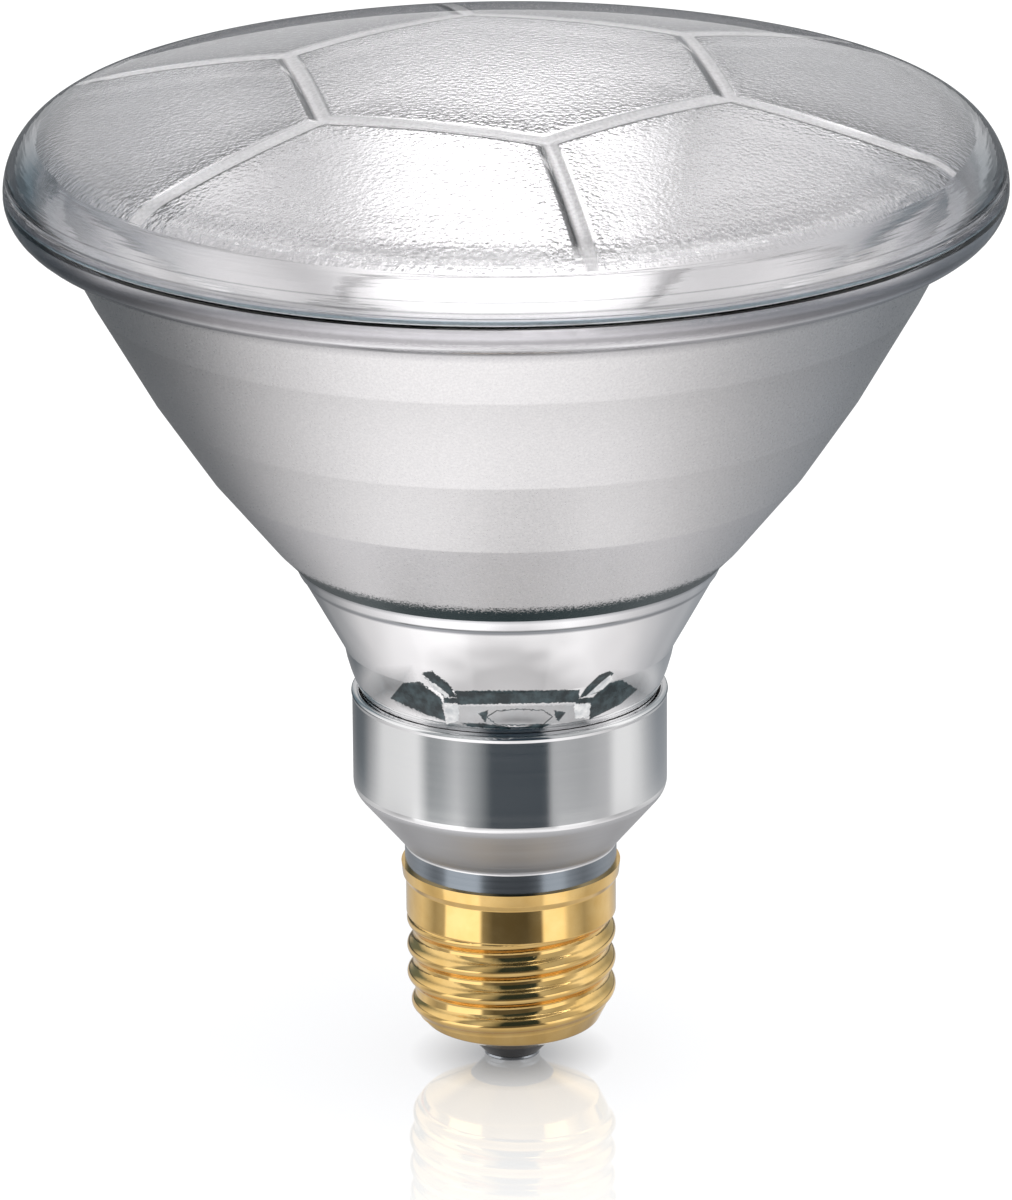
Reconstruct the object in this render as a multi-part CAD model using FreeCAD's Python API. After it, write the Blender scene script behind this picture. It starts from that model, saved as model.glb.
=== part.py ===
"""Sealed-beam parabolic reflector lamp, 122 mm across, with a skirted E27 screw cap.

The lamp stands on its centre contact: the origin is the lowest point of that
contact, +Z runs along the axis from the cap to the front lens and -Y faces the
viewer. Lengths are in millimetres.
"""
import FreeCAD, Part
import math
import os

from FreeCAD import Vector

# Screw cap, after the standard sizes of an E27 cap
contact_radius = 3.5
contact_thickness = 0.45
contact_rounding = 0.2
contact_solder_radius = 2.1
contact_solder_height = 0.25
contact_solder_flat = 1.1
eyelet_radius = 1.3
eyelet_bore = 0.45
shell_opening_radius = 5.2
shell_opening_height = 2.5
shell_cone_radius = 11.0
shell_cone_height = 5.3
shell_foot_slope = 2.0
shell_wall = 0.3
shell_foot_rounding = 0.8
band_rounding = 0.3
thread_pitch = 3.629
thread_crest_radius = 13.05
thread_arc_radius = 1.08
thread_crest_height = 16.7
thread_turns_below = 2.9
thread_turns_above = 1
thread_runout_turns = 0.9
thread_sink = 3.0
core_proud = 0.03
band_radius = 13.1
band_bottom = 19.5
band_top = 23.9
flare_height = 26.1
flare_step = 0.7
flare_lip = 0.15

# Insulator between the shell and the centre contact
insulator_rim = 0.6
insulator_dish = 2.8
insulator_hub_radius = 3.0

# Aluminium skirt, 39 mm across
skirt_radius = 19.5
skirt_wall = 0.5
skirt_top = 49.1
skirt_lip_radius = 0.5
skirt_lip_proud = 0.12
skirt_lip_depth = 0.9
skirt_shoulder_height = 36.3
skirt_shoulder_rounding = 2.4
collar_radius = 13.2
collar_top = 28.9
collar_rounding = 0.8
collar_seat_gap = 0.15

# Heel of the pressed glass reflector, from the foot ring upwards
heel_radius = 18.45
heel_belly = 0.25
heel_sink = 3.7
heel_floor_rise = 2.9
heel_floor_wall = 3.2
heel_inner_radius = 16.8
heel_inner_rounding = 2.4
foot_ring_wall = 2.6
foot_rounding = 0.6
foot_inner_rounding = 0.8
exhaust_radius = 2.8
exhaust_bore = 1.5
exhaust_length = 6.8
exhaust_root = 0.5
exhaust_roundness = 0.6

# Current feeds through the heel
ferrule_offset = 10.0
ferrule_radius = 3.0
ferrule_wall = 0.4
ferrule_rise = 1.5
ferrule_recess = 0.4
ferrule_crown = 1.8
post_radius = 0.7
post_rise = 1.8
post_bend = 1.3
lead_radius = 0.3
lead_bend = 1.5
fuse_sleeve_radius = 1.4
fuse_sleeve_bottom = 10.5
fuse_sleeve_length = 7.0
fuse_sleeve_rounding = 0.3
shell_lead_rise = 1.25
shell_lead_reach = 0.9
shell_lead_turn = 4.0
shell_solder_radius = 1.35
shell_solder_proud = 0.35
shell_solder_rise = 0.75

# Cement that holds the heel in the skirt
cement_cover = 2.0
cement_foot = 1.8

# Halogen burner
tube_radius = 6.0
tube_wall = 1.0
tube_top_above_coil = 5.0
tube_crown = 3.6
tube_foot_rounding = 2.0
tube_inner_rounding = 1.5
tip_radius = 1.3
tip_height = 2.4
tip_rounding = 0.6
burner_rise = 1.0
pinch_width = 11.0
pinch_thickness = 3.4
pinch_height = 6.6
pinch_rounding = 0.8
pinch_to_coil = 2.7
foil_offset = 2.6
foil_width = 2.4
foil_thickness = 0.12
foil_length = 3.8
foil_bottom_margin = 1.3
pin_radius = 0.45
pin_overlap = 0.8
coil_radius = 1.1
coil_wire = 0.2
coil_length = 8.0
coil_turns = 8.5
inner_lead_radius = 0.3
inner_lead_bend = 0.35
inner_lead_side = 3.3
inner_lead_straight = 0.6
inner_lead_drop = 0.4
inner_lead_jog = 1.0
inner_lead_above = 1.5

# Pressed glass reflector, from its neck to its rim
mirror_focal_length = 12.9
mirror_bottom_radius = 20.57
mirror_top_drop = 2.3
mirror_rim_rounding = 1.6
neck_length = 11.3
neck_inner_rise = 2.0
neck_inner_rounding = 1.5
neck_step_drop = 1.7
neck_step_depth = 0.3
kink_radius = 20.4
bowl_bottom_rise = 1.9
bowl_bottom_radius = 26.6
bowl_top_radius = 54.75
bowl_depth = 47.2
band_shares = (0.0612, 0.2847, 0.5212, 0.8188)
rim_radius = 61.0
rim_under_radius = 4.7
seam_rounding = 0.35

# Pressed glass front lens
lens_rise = 16.3
lens_shoulder_radius = 8.9
lens_wall = 3.8
hexagon_radius = 28.0
hexagon_turn = 9.7
rib_width = 2.7
rib_depth = 0.75
rib_end_margin = 0.6

ORIGIN = Vector(0, 0, 0)
UP = Vector(0, 0, 1)
FULL_TURN = 360
SHORTEST_LINE = 1e-6
CUT_MARGIN = 1


def section_point(corner):
    """Point of a section, which is drawn in the XZ plane as (radius, height)."""
    return Vector(corner[0], 0, corner[1])


def rounded_corner(before, corner, after, radius):
    """Start, middle and end of the arc that rounds a corner between two lines."""
    back = (before - corner).normalize()
    ahead = (after - corner).normalize()
    half_angle = back.getAngle(ahead) / 2
    reach = radius / math.tan(half_angle)
    middle_way = (back + ahead).normalize()
    centre = corner + middle_way * (radius / math.sin(half_angle))
    return corner + back * reach, centre - middle_way * radius, corner + ahead * reach


def arc_mark(radius, height):
    """Mark a point that an arc passes through on its way to the next corner."""
    return ("through", radius, height)


def section(corners):
    """Closed face from corners (r, z), rounded corners (r, z, rounding) and arc marks."""
    edges = []
    count = len(corners)
    plain = [section_point(c[-2:] if c[0] == "through" else c) for c in corners]
    starts = []
    for index, corner in enumerate(corners):
        if len(corner) == 3 and corner[0] != "through":
            before = plain[index - 1]
            after = plain[(index + 1) % count]
            starts.append(rounded_corner(before, plain[index], after, corner[2]))
        else:
            starts.append((plain[index],) * 3)
    place = starts[0][2]
    through = None
    for index in list(range(1, count)) + [0]:
        if corners[index][0] == "through":
            through = plain[index]
            continue
        entry, middle, leave = starts[index]
        if through is not None:
            edges.append(Part.Arc(place, through, entry).toShape())
            through = None
        elif place.distanceToPoint(entry) > SHORTEST_LINE:
            edges.append(Part.LineSegment(place, entry).toShape())
        if entry is not leave:
            edges.append(Part.Arc(entry, middle, leave).toShape())
        place = leave
    return Part.Face(Part.Wire(edges))


def turned(corners):
    """Solid of revolution about the lamp's axis."""
    return section(corners).revolve(ORIGIN, UP, FULL_TURN)


def rod(points, radius, bend):
    """Round wire through the points, with every bend rounded."""
    corners = [Vector(*point) for point in points]
    edges = []
    place = corners[0]
    for before, corner, after in zip(corners, corners[1:], corners[2:]):
        entry, middle, leave = rounded_corner(before, corner, after, bend)
        edges.append(Part.LineSegment(place, entry).toShape())
        edges.append(Part.Arc(entry, middle, leave).toShape())
        place = leave
    edges.append(Part.LineSegment(place, corners[-1]).toShape())
    direction = corners[1] - corners[0]
    disc = Part.Wire(Part.makeCircle(radius, corners[0], direction))
    return Part.Wire(edges).makePipeShell([disc], True, True)


# Sizes that follow from the ones above
thread_arc_angle = math.asin(thread_pitch / 4 / thread_arc_radius)
thread_depth = 2 * thread_arc_radius * (1 - math.cos(thread_arc_angle))
thread_root_radius = thread_crest_radius - thread_depth
core_radius = thread_root_radius + core_proud
shell_foot_top = shell_cone_height + shell_foot_slope * (core_radius - shell_cone_radius)
insulator_top = shell_foot_top + insulator_rim
contact_bottom = contact_solder_height
contact_top = contact_bottom + contact_thickness
collar_seat = band_top + flare_step + collar_seat_gap
shell_lead_height = flare_height + shell_lead_rise
heel_bottom = skirt_top - heel_sink
heel_floor_bottom = heel_bottom + heel_floor_rise
heel_floor_top = heel_floor_bottom + heel_floor_wall
exhaust_tip_height = heel_floor_bottom - exhaust_length
ferrule_bottom = heel_bottom + ferrule_recess
ferrule_top = heel_floor_top + ferrule_rise
post_height = ferrule_top + post_rise
cement_top = heel_bottom + cement_cover
cement_bottom = heel_bottom - cement_foot
pinch_bottom = post_height + burner_rise
pinch_top = pinch_bottom + pinch_height
foil_bottom = pinch_bottom + foil_bottom_margin
foil_top = foil_bottom + foil_length
coil_bottom = pinch_top + pinch_to_coil
coil_top = coil_bottom + coil_length
mirror_focus_height = coil_bottom + coil_length / 2
mirror_vertex_height = mirror_focus_height - mirror_focal_length
mirror_bottom_height = mirror_vertex_height + mirror_bottom_radius**2 / (4 * mirror_focal_length)
bowl_bottom_height = mirror_bottom_height + bowl_bottom_rise
kink_height = bowl_bottom_height - neck_length
neck_step_height = bowl_bottom_height - neck_step_drop
seam_height = bowl_bottom_height + bowl_depth
flange_bottom = seam_height - rim_under_radius
rim_inner_radius = rim_radius - lens_wall
shoulder_centre = rim_radius - lens_shoulder_radius
dome_radius = (
    (shoulder_centre**2 + lens_rise**2 - lens_shoulder_radius**2)
    / (2 * (lens_rise - lens_shoulder_radius))
)
dome_centre_height = seam_height + lens_rise - dome_radius
inner_dome_radius = dome_radius - lens_wall


def mirror_radius(height):
    """Radius of the mirrored inner face, a paraboloid about the coil."""
    return math.sqrt(4 * mirror_focal_length * (height - mirror_vertex_height))


def bowl_corner(share):
    """Outer corner of the bowl on its paraboloid, at a share of its height."""
    square = bowl_bottom_radius**2
    square += share * (bowl_top_radius**2 - bowl_bottom_radius**2)
    height = bowl_bottom_height + share * (flange_bottom - bowl_bottom_height)
    return (math.sqrt(square), height)


def dome_corner(radius, sphere_radius):
    """Section corner on a sphere about the dome's centre."""
    return (radius, dome_centre_height + math.sqrt(sphere_radius**2 - radius**2))


def shoulder_corner(angle, radius):
    """Section corner on an arc about the lens shoulder's centre, from the vertical."""
    return (
        shoulder_centre + radius * math.sin(angle),
        seam_height + radius * math.cos(angle),
    )


def make_lens_blank():
    """Domed glass of even thickness that turns down into the rim."""
    join_angle = math.asin(shoulder_centre / (dome_radius - lens_shoulder_radius))
    end_angle = math.pi / 2 - math.asin(seam_rounding / lens_shoulder_radius)
    inner_shoulder = lens_shoulder_radius - lens_wall
    middle_angle = (join_angle + end_angle) / 2
    inner_middle = (join_angle + math.pi / 2) / 2
    join = shoulder_corner(join_angle, lens_shoulder_radius)
    inner_join = shoulder_corner(join_angle, inner_shoulder)
    return turned([
        dome_corner(0, dome_radius),
        arc_mark(*dome_corner(join[0] / 2, dome_radius)),
        join,
        arc_mark(*shoulder_corner(middle_angle, lens_shoulder_radius)),
        shoulder_corner(end_angle, lens_shoulder_radius),
        (rim_radius - seam_rounding, seam_height),
        (rim_inner_radius, seam_height),
        arc_mark(*shoulder_corner(inner_middle, inner_shoulder)),
        inner_join,
        arc_mark(*dome_corner(inner_join[0] / 2, inner_dome_radius)),
        dome_corner(0, inner_dome_radius),
    ])


def rib_along(start, centre, axis, angle, radius):
    """Round rib: a disc at start, turned about an axis through the arc's centre."""
    tangent = axis.cross(start - centre)
    disc = Part.Face(Part.Wire(Part.makeCircle(radius, start, tangent)))
    return disc.revolve(centre, axis, math.degrees(angle))


def make_lens_ribs():
    """Hexagon and six spokes that stand on the inner face of the dome."""
    radius = (rib_width**2 / 4 + rib_depth**2) / (2 * rib_depth)
    spine_radius = inner_dome_radius + radius - rib_depth
    spine_height = math.sqrt(spine_radius**2 - hexagon_radius**2)
    centre = Vector(0, 0, dome_centre_height)
    spoke_end = rim_inner_radius - rib_end_margin
    spoke_angle = math.asin(spoke_end / spine_radius) - math.asin(hexagon_radius / spine_radius)
    ribs = []
    for corner in range(6):
        turn = math.radians(90 + hexagon_turn + 60 * corner)
        outward = Vector(math.cos(turn), math.sin(turn), 0)
        vertex = centre + outward * hexagon_radius + UP * spine_height
        ribs.append(Part.makeSphere(radius, vertex))
        ribs.append(rib_along(vertex, centre, UP.cross(outward), spoke_angle, radius))
        side_turn = turn + math.pi / 6
        side_axis = Vector(math.cos(side_turn), math.sin(side_turn), 0)
        side_centre = centre + side_axis * (hexagon_radius * math.cos(math.pi / 6))
        side_radius = (vertex - side_centre).Length
        side_angle = 2 * math.asin(hexagon_radius / 2 / side_radius)
        ribs.append(rib_along(vertex, side_centre, side_axis, side_angle, radius))
    return ribs


def make_front_lens():
    """Front lens with its ribs as one glass pressing."""
    return make_lens_blank().multiFuse(make_lens_ribs()).removeSplitter()


def mirror_face():
    """Inner corners of the bowl, from the rim down to the neck."""
    top = seam_height - mirror_top_drop
    drop = top - mirror_bottom_height
    steps = 6
    crowding = 0.7
    heights = [top - drop * (step / steps) ** crowding for step in range(steps + 1)]
    corners = [(mirror_radius(top), top)]
    for high, low in zip(heights, heights[1:]):
        middle = (high + low) / 2
        corners.append(arc_mark(mirror_radius(middle), middle))
        corners.append((mirror_radius(low), low))
    return corners


def make_bowl_blank():
    """Pressed glass wall of the reflector, from the flange to the foot ring."""
    flange_centre = rim_radius - rim_under_radius
    slant = math.sqrt(0.5)
    neck_slope = (bowl_bottom_radius - kink_radius) / neck_length
    step_radius = bowl_bottom_radius - neck_step_drop * neck_slope
    belly_height = (kink_height + skirt_top) / 2
    belly_radius = (kink_radius + heel_radius) / 2 + heel_belly
    corners = [
        (0, heel_floor_bottom),
        (heel_radius - foot_ring_wall, heel_floor_bottom, foot_inner_rounding),
        (heel_radius - foot_ring_wall, heel_bottom),
        (heel_radius, heel_bottom, foot_rounding),
        (heel_radius, skirt_top),
        arc_mark(belly_radius, belly_height),
        (kink_radius, kink_height),
        (step_radius, neck_step_height),
        (step_radius + neck_step_depth, neck_step_height + neck_step_depth),
    ]
    corners += [bowl_corner(share) for share in (0, *band_shares, 1)]
    corners += [
        (flange_centre, flange_bottom),
        arc_mark(
            flange_centre + rim_under_radius * slant,
            seam_height - rim_under_radius * slant,
        ),
        (rim_radius, seam_height - seam_rounding),
        (rim_radius - seam_rounding, seam_height),
        (rim_inner_radius, seam_height),
        (rim_inner_radius, seam_height - mirror_top_drop, mirror_rim_rounding),
    ]
    corners += mirror_face()
    corners += [
        (heel_inner_radius, kink_height + neck_inner_rise, neck_inner_rounding),
        (heel_inner_radius, heel_floor_top, heel_inner_rounding),
        (0, heel_floor_top),
    ]
    return turned(corners)


def make_exhaust_stub():
    """Sealed-off exhaust tube under the heel."""
    root = heel_floor_bottom + exhaust_root
    floor = exhaust_tip_height + exhaust_radius
    return turned([
        (exhaust_bore, root),
        (exhaust_radius, root),
        (exhaust_radius, exhaust_tip_height, exhaust_radius * exhaust_roundness),
        (0, exhaust_tip_height),
        (0, floor),
        (exhaust_bore, floor, exhaust_bore * exhaust_roundness),
    ])


def upright_cylinder(radius, bottom, top, offset=0):
    """Cylinder between two heights, offset along X."""
    return Part.makeCylinder(radius, top - bottom, Vector(offset, 0, bottom))


def make_reflector_bowl():
    """Reflector with its exhaust stub and the two holes for the ferrules."""
    bowl = make_bowl_blank().fuse(make_exhaust_stub())
    floor_ends = (heel_floor_bottom - CUT_MARGIN, heel_floor_top + CUT_MARGIN)
    holes = [upright_cylinder(exhaust_bore, *floor_ends)]
    for side in (-1, 1):
        holes.append(upright_cylinder(ferrule_radius, *floor_ends, side * ferrule_offset))
    return bowl.cut(holes)


def shell_profile(inset):
    """Section line of the shell from its opening to its flare, moved inwards by inset."""
    root = core_radius - inset
    band = band_radius - inset
    flare = collar_radius + shell_wall - inset
    slope = (shell_cone_radius - shell_opening_radius) / (shell_cone_height - shell_opening_height)
    lift = inset * math.sqrt(1 + slope**2) / slope
    return [
        (shell_opening_radius, shell_opening_height + lift),
        (shell_cone_radius, shell_cone_height + lift, shell_foot_rounding),
        (root, shell_foot_top + lift, shell_foot_rounding),
        (root, band_bottom - thread_depth, band_rounding),
        (band, band_bottom, band_rounding),
        (band, band_top, band_rounding),
        (flare, band_top + flare_step, band_rounding),
    ]


def thread_profile():
    """Section of the ridge at angle 0: a crest arc between two half root arcs."""
    root_centre = thread_root_radius + thread_arc_radius
    join = thread_crest_radius - thread_depth / 2
    inside = core_radius - shell_wall / 2
    cut_off = math.acos((root_centre - core_radius) / thread_arc_radius) / 2
    middle = (cut_off + thread_arc_angle) / 2

    def root_point(angle, side):
        height = side * (thread_pitch / 2 - thread_arc_radius * math.sin(angle))
        return Vector(root_centre - thread_arc_radius * math.cos(angle), 0, height)

    crest = Vector(thread_crest_radius, 0, 0)
    low_join = Vector(join, 0, -thread_pitch / 4)
    high_join = Vector(join, 0, thread_pitch / 4)
    low_end = root_point(cut_off, -1)
    high_end = root_point(cut_off, 1)
    low_inside = Vector(inside, 0, low_end.z)
    high_inside = Vector(inside, 0, high_end.z)
    return Part.Wire([
        Part.Arc(low_end, root_point(middle, -1), low_join).toShape(),
        Part.Arc(low_join, crest, high_join).toShape(),
        Part.Arc(high_join, root_point(middle, 1), high_end).toShape(),
        Part.LineSegment(high_end, high_inside).toShape(),
        Part.LineSegment(high_inside, low_inside).toShape(),
        Part.LineSegment(low_inside, low_end).toShape(),
    ])


def make_thread_ridge():
    """Right-hand ridge that rises out of the shell's wall below and ends in the band."""
    steps_a_turn = 24
    turns = thread_turns_below + thread_turns_above
    points = []
    for step in range(round(turns * steps_a_turn) + 1):
        turn = step / steps_a_turn
        sunk = thread_sink * max(0, 1 - turn / thread_runout_turns) ** 3
        rise = turn - thread_turns_below
        angle = math.radians(FULL_TURN * rise)
        radius = thread_crest_radius - sunk
        height = thread_crest_height + rise * thread_pitch
        points.append(Vector(radius * math.cos(angle), radius * math.sin(angle), height))
    spine = Part.BSplineCurve()
    spine.interpolate(points)
    profile = thread_profile()
    profile.translate(Vector(-thread_sink, 0, points[0].z))
    profile.rotate(ORIGIN, UP, -FULL_TURN * thread_turns_below)
    pipe = Part.BRepOffsetAPI.MakePipeShell(Part.Wire(spine.toShape()))
    pipe.setBiNormalMode(UP)
    pipe.add(profile)
    pipe.build()
    pipe.makeSolid()
    return pipe.shape()


def make_screw_shell():
    """Thin brass shell with the rolled thread, the plain band and the flared top."""
    inner = shell_profile(shell_wall)
    outer = shell_profile(0)
    tip = (collar_radius + shell_wall + flare_lip, flare_height)
    solid = turned([(0, outer[0][1])] + outer + [tip, (0, flare_height)])
    cavity = turned([(0, inner[0][1])] + inner + [(collar_radius, flare_height), (0, flare_height)])
    opening = upright_cylinder(shell_opening_radius, 0, shell_cone_height)
    return solid.fuse(make_thread_ridge()).cut([cavity, opening])


def make_insulator():
    """Black glass between the shell and the centre contact, dished on top."""
    opening, cone, foot = shell_profile(shell_wall)[:3]
    return turned([
        (eyelet_radius, contact_top),
        (contact_radius, contact_top),
        (shell_opening_radius, shell_opening_height),
        opening,
        cone,
        foot,
        (foot[0], insulator_top),
        (insulator_hub_radius, insulator_top - insulator_dish),
        (eyelet_radius, insulator_top - insulator_dish),
    ])


def make_centre_contact():
    """Brass eyelet with a disc below and a tube that holds it in the insulator."""
    return turned([
        (eyelet_bore, contact_bottom),
        (contact_radius, contact_bottom, contact_rounding),
        (contact_radius, contact_top),
        (eyelet_radius, contact_top),
        (eyelet_radius, insulator_top - insulator_dish),
        (eyelet_bore, insulator_top - insulator_dish),
    ])


def make_contact_solder():
    """Flattened solder dome under the centre contact."""
    spread = contact_solder_radius - contact_solder_flat
    slant = math.sqrt(0.5)
    return turned([
        (0, contact_bottom),
        (0, 0),
        (contact_solder_flat, 0),
        arc_mark(contact_solder_flat + slant * spread, (1 - slant) * contact_bottom),
        (contact_solder_radius, contact_bottom),
    ])


def make_skirt_blank():
    """Spun aluminium: rolled lip, cylinder, cone and collar."""
    lip_centre = skirt_radius + skirt_lip_proud - skirt_lip_radius
    lip_foot = skirt_top - skirt_lip_depth
    inner = skirt_radius - skirt_wall
    slope = (skirt_radius - collar_radius) / (skirt_shoulder_height - collar_top)
    lift = skirt_wall * (math.sqrt(1 + slope**2) - 1) / slope
    return turned([
        (skirt_radius, lip_foot),
        (skirt_radius, skirt_shoulder_height, skirt_shoulder_rounding),
        (collar_radius, collar_top, collar_rounding),
        (collar_radius, collar_seat),
        (collar_radius - skirt_wall, collar_seat),
        (collar_radius - skirt_wall, collar_top + lift, collar_rounding + skirt_wall),
        (inner, skirt_shoulder_height + lift, skirt_shoulder_rounding - skirt_wall),
        (inner, lip_foot),
        (lip_centre - skirt_lip_radius, skirt_top - skirt_lip_radius),
        arc_mark(lip_centre, skirt_top),
        (lip_centre + skirt_lip_radius, skirt_top - skirt_lip_radius),
    ])


def shell_lead_path():
    """Route of the lead from the right ferrule out through the collar at the back."""
    inside = ferrule_top - ferrule_wall
    outside = collar_radius + shell_lead_reach
    return [
        (ferrule_offset, 0, inside),
        (ferrule_offset, 0, skirt_shoulder_height),
        (0, collar_radius - shell_lead_turn, shell_lead_height),
        (0, outside, shell_lead_height),
    ]


def make_shell_lead():
    """Lead from the right ferrule to the top of the shell."""
    return rod(shell_lead_path(), lead_radius, lead_bend)


def make_skirt():
    """Skirt with the small hole that the shell lead leaves by."""
    start = Vector(0, 0, shell_lead_height)
    hole = Part.makeCylinder(lead_radius, collar_radius * 2, start, Vector(0, 1, 0))
    return make_skirt_blank().cut(hole)


def make_shell_solder(screw_shell, shell_lead):
    """Solder blob in the corner between the collar and the flare."""
    middle = Vector(0, collar_radius + shell_solder_proud, flare_height + shell_solder_rise)
    blob = Part.makeSphere(shell_solder_radius, middle)
    core = upright_cylinder(collar_radius, collar_seat - CUT_MARGIN, skirt_top)
    return blob.cut([core, screw_shell, shell_lead])


def make_heel_cement():
    """Ring of cement between the heel's foot and the skirt."""
    inner = skirt_radius - skirt_wall
    return turned([
        (inner, cement_bottom),
        (inner, cement_top),
        (heel_radius, cement_top),
        (heel_radius, heel_bottom, foot_rounding),
        (heel_radius - foot_ring_wall, heel_bottom),
        (heel_radius - foot_ring_wall, cement_bottom),
    ])


def make_ferrule(side):
    """Metal cup, closed above, that carries the current through the heel."""
    cup = turned([
        (0, ferrule_top),
        (ferrule_radius, ferrule_top, ferrule_crown),
        (ferrule_radius, ferrule_bottom),
        (ferrule_radius - ferrule_wall, ferrule_bottom),
        (ferrule_radius - ferrule_wall, ferrule_top - ferrule_wall, ferrule_crown - ferrule_wall),
        (0, ferrule_top - ferrule_wall),
    ])
    cup.translate(Vector(side * ferrule_offset, 0, 0))
    return cup


def make_pin(side):
    """Round pin from the foil out of the bottom of the pinch."""
    top = foil_bottom + pin_overlap
    return upright_cylinder(pin_radius, post_height - post_radius, top, side * foil_offset)


def make_foil(side):
    """Thin metal foil that is sealed in the pinch."""
    corner = Vector(
        side * foil_offset - foil_width / 2,
        -foil_thickness / 2,
        foil_bottom,
    )
    foil = Part.makeBox(foil_width, foil_thickness, foil_length, corner)
    return foil.cut(make_pin(side))


def make_post(side):
    """Stiff wire that stands on a ferrule and carries the burner's pin."""
    post = rod(
        [
            (side * ferrule_offset, 0, ferrule_top),
            (side * ferrule_offset, 0, post_height),
            (side * foil_offset, 0, post_height),
        ],
        post_radius,
        post_bend,
    )
    return post.cut(make_pin(side))


def make_coil():
    """Tungsten coil on the mirror's axis, centred on its focus."""
    pitch = coil_length / coil_turns
    helix = Part.makeHelix(pitch, coil_length, coil_radius)
    disc = Part.Wire(Part.makeCircle(coil_wire, Vector(coil_radius, 0, 0), Vector(0, 1, 0)))
    coil = helix.makePipeShell([disc], True, True)
    coil.translate(UP * coil_bottom)
    return coil


def make_inner_lead(side):
    """Lead from a foil to one end of the coil."""
    foot = (side * foil_offset, 0, foil_top - pin_overlap)
    if side > 0:
        coil_end = coil_bottom - coil_wire
        points = [
            foot,
            (side * foil_offset, 0, pinch_top + inner_lead_straight),
            (side * coil_radius, 0, coil_end - inner_lead_drop),
            (side * coil_radius, 0, coil_end),
        ]
    else:
        above = coil_top + inner_lead_above
        points = [
            foot,
            (side * foil_offset, 0, pinch_top - inner_lead_straight),
            (side * inner_lead_side, 0, pinch_top + inner_lead_jog),
            (side * inner_lead_side, 0, above),
            (side * coil_radius, 0, above),
            (side * coil_radius, 0, coil_top + coil_wire),
        ]
    return rod(points, inner_lead_radius, inner_lead_bend).cut(make_foil(side))


def make_tube():
    """Quartz tube with a rounded exhaust tip, solid inside."""
    top = coil_top + tube_top_above_coil
    tip = top + tip_height
    return turned([
        (0, tip),
        (tip_radius, tip, tip_rounding),
        (tip_radius, top, tip_rounding),
        (tube_radius, top, tube_crown),
        (tube_radius, pinch_top - tube_wall, tube_foot_rounding),
        (0, pinch_top - tube_wall),
    ])


def make_tube_bore():
    """Room inside the quartz tube."""
    top = coil_top + tube_top_above_coil - tube_wall
    inner = tube_radius - tube_wall
    return turned([
        (0, top),
        (inner, top, tube_crown - tube_wall),
        (inner, pinch_top, tube_inner_rounding),
        (0, pinch_top),
    ])


def make_pinch():
    """Flat pinch with rounded upright edges, which reaches into the tube's floor."""
    corner = Vector(-pinch_width / 2, -pinch_thickness / 2, pinch_bottom)
    height = pinch_height - tube_wall / 2
    pinch = Part.makeBox(pinch_width, pinch_thickness, height, corner)
    edges = [edge for edge in pinch.Edges if edge.BoundBox.ZLength > height / 2]
    return pinch.makeFillet(pinch_rounding, edges)


def make_burner_envelope():
    """Quartz tube and pinch, with room for what is sealed inside."""
    inside = [make_tube_bore()]
    for side in (-1, 1):
        inside += [make_foil(side), make_pin(side), make_inner_lead(side)]
    return make_tube().fuse(make_pinch()).cut(inside)


def make_contact_lead():
    """Lead from the left ferrule down the cap to the centre contact."""
    return rod(
        [
            (-ferrule_offset, 0, ferrule_top - ferrule_wall),
            (-ferrule_offset, 0, skirt_shoulder_height),
            (0, 0, band_top),
            (0, 0, contact_bottom),
        ],
        lead_radius,
        lead_bend,
    )


def make_fuse_sleeve():
    """Sleeve of glass fibre over the fuse in the contact lead."""
    top = fuse_sleeve_bottom + fuse_sleeve_length
    return turned([
        (lead_radius, fuse_sleeve_bottom),
        (fuse_sleeve_radius, fuse_sleeve_bottom, fuse_sleeve_rounding),
        (fuse_sleeve_radius, top, fuse_sleeve_rounding),
        (lead_radius, top),
    ])


def make_parts():
    """Every piece of the lamp by name."""
    screw_shell = make_screw_shell()
    shell_lead = make_shell_lead()
    parts = {
        "front_lens": make_front_lens(),
        "reflector_bowl": make_reflector_bowl(),
        "skirt": make_skirt(),
        "heel_cement": make_heel_cement(),
        "screw_shell": screw_shell,
        "insulator": make_insulator(),
        "centre_contact": make_centre_contact(),
        "contact_solder": make_contact_solder(),
        "shell_solder": make_shell_solder(screw_shell, shell_lead),
        "contact_lead": make_contact_lead(),
        "shell_lead": shell_lead,
        "fuse_sleeve": make_fuse_sleeve(),
        "burner_envelope": make_burner_envelope(),
        "filament_coil": make_coil(),
    }
    for name, side in (("left", -1), ("right", 1)):
        parts["ferrule_" + name] = make_ferrule(side)
        parts["burner_post_" + name] = make_post(side)
        parts["burner_pin_" + name] = make_pin(side)
        parts["sealing_foil_" + name] = make_foil(side)
        parts["inner_lead_" + name] = make_inner_lead(side)
    return parts


os.makedirs("parts", exist_ok=True)
for name, shape in make_parts().items():
    solids = len(shape.Solids)
    print(f"{name}: {solids} solid, {shape.Volume:.1f} mm3, valid {shape.isValid()}")
    shape.exportStep(f"parts/{name}.step")
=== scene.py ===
"""Finish, light and view of the reflector lamp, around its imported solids.

Lengths are in metres, except where a name ends in _MM or a comment says mm. +Z runs from
the screw cap to the front lens, the lamp stands on the origin and -Y faces the camera.
"""

import math

import bmesh
import bpy
from mathutils import Matrix, Vector, geometry


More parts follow.
